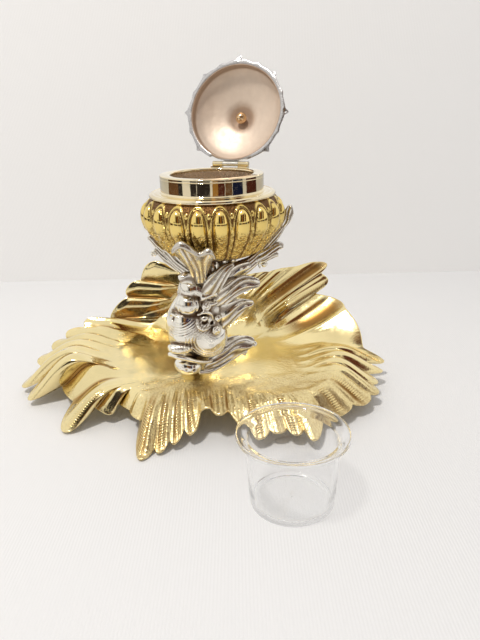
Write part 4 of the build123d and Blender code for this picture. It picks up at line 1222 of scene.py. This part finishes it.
# The same bands on the floor in front: degrees from straight ahead, to the right, and colour.
FLOOR_BANDS = [(-106, -75, WALNUT), (-75, -64, DARK), (-45, -31.5, DARK), (-30.5, -2, DARK), (3, 15, AMBER),
               (15, 29, MAROON), (30, 46, WALNUT), (47, 71, NAVY), (81, 114, MAROON)]
BAND_NEAR, BAND_FAR, BAND_HEIGHT = 0.64, 2.9, 0.002


def make_world():
    """Even white light, but mirror-like surfaces also see a dim room in front of the object."""
    bpy.context.scene.world = bpy.data.worlds.new("studio")
    n = Nodes(bpy.context.scene.world, "Background", "Generated")
    n.feed("Strength", 1.0)
    x, y, z = n.add("ShaderNodeSeparateXYZ", {0: n.place}).outputs

    def eased(value, limits):
        inputs = {"Value": value, "From Min": limits[0], "From Max": limits[1]}
        return n.add("ShaderNodeMapRange", inputs, interpolation_type="SMOOTHSTEP").outputs[0]

    window = n.math("MULTIPLY", eased(x, WINDOW_LEFT), eased(z, WINDOW_SILL))
    share = eased(y, ROOM_AHEAD)
    for part in (eased(z, ROOM_FLOOR), eased(z, ROOM_CEILING), n.math("SUBTRACT", 1.0, window)):
        share = n.math("MULTIPLY", share, part)
    shift = n.add("ShaderNodeMath", {0: x, 1: 0.5, 2: 0.5}, operation="MULTIPLY_ADD").outputs[0]
    room = n.add("ShaderNodeValToRGB", {0: shift})
    ramp = room.color_ramp
    ramp.interpolation = "CONSTANT"
    ramp.elements[0].color = rgb(*ROOM[0][1])
    ramp.elements[1].position, ramp.elements[1].color = ROOM[-1][0], rgb(*ROOM[-1][1])
    for position, colour in ROOM[1:-1]:
        ramp.elements.new(position).color = rgb(*colour)
    glossy = n.add("ShaderNodeLightPath").outputs["Is Glossy Ray"]
    n.feed("Color", n.blend(glossy, EVEN_LIGHT, n.blend(share, BRIGHT_ROOM, room.outputs[0])))


def make_floor_bands():
    """Dark cards that lie in front, seen only in the metal's reflections."""
    for number, (start, stop, colour) in enumerate(FLOOR_BANDS):
        turns = np.radians(np.linspace(start, stop, 12))
        corners = [(WELL_X * MM + far * math.sin(t), WELL_Y * MM - far * math.cos(t), BAND_HEIGHT)
                   for far, line in ((BAND_NEAR, turns), (BAND_FAR, turns[::-1])) for t in line]
        mesh = bpy.data.meshes.new(f"floor_band_{number}")
        mesh.from_pydata(corners, [], [list(range(len(corners)))])
        mesh.materials.append(matte(mesh.name, colour, 9.0, 0.8, 0.9).owner)
        card = bpy.data.objects.new(mesh.name, mesh)
        bpy.context.scene.collection.objects.link(card)
        card.visible_camera = card.visible_diffuse = card.visible_shadow = card.visible_transmission = False


make_camera()
bpy.context.scene.view_settings.view_transform = "Standard"
stage_plane("table", (0, 0, 0), (0, 0, 0), (0.84, 0.835, 0.83))
wall = stage_plane("wall", (0, WALL_Y, 1.5), (math.radians(90), 0, 0), (0.95, 0.935, 0.915))
wall.visible_glossy = False
key_light(place=(-0.26, -0.36, 1.04), size=0.13, power=5.9, colour=(1.0, 0.97, 0.93))
make_floor_bands()
make_world()
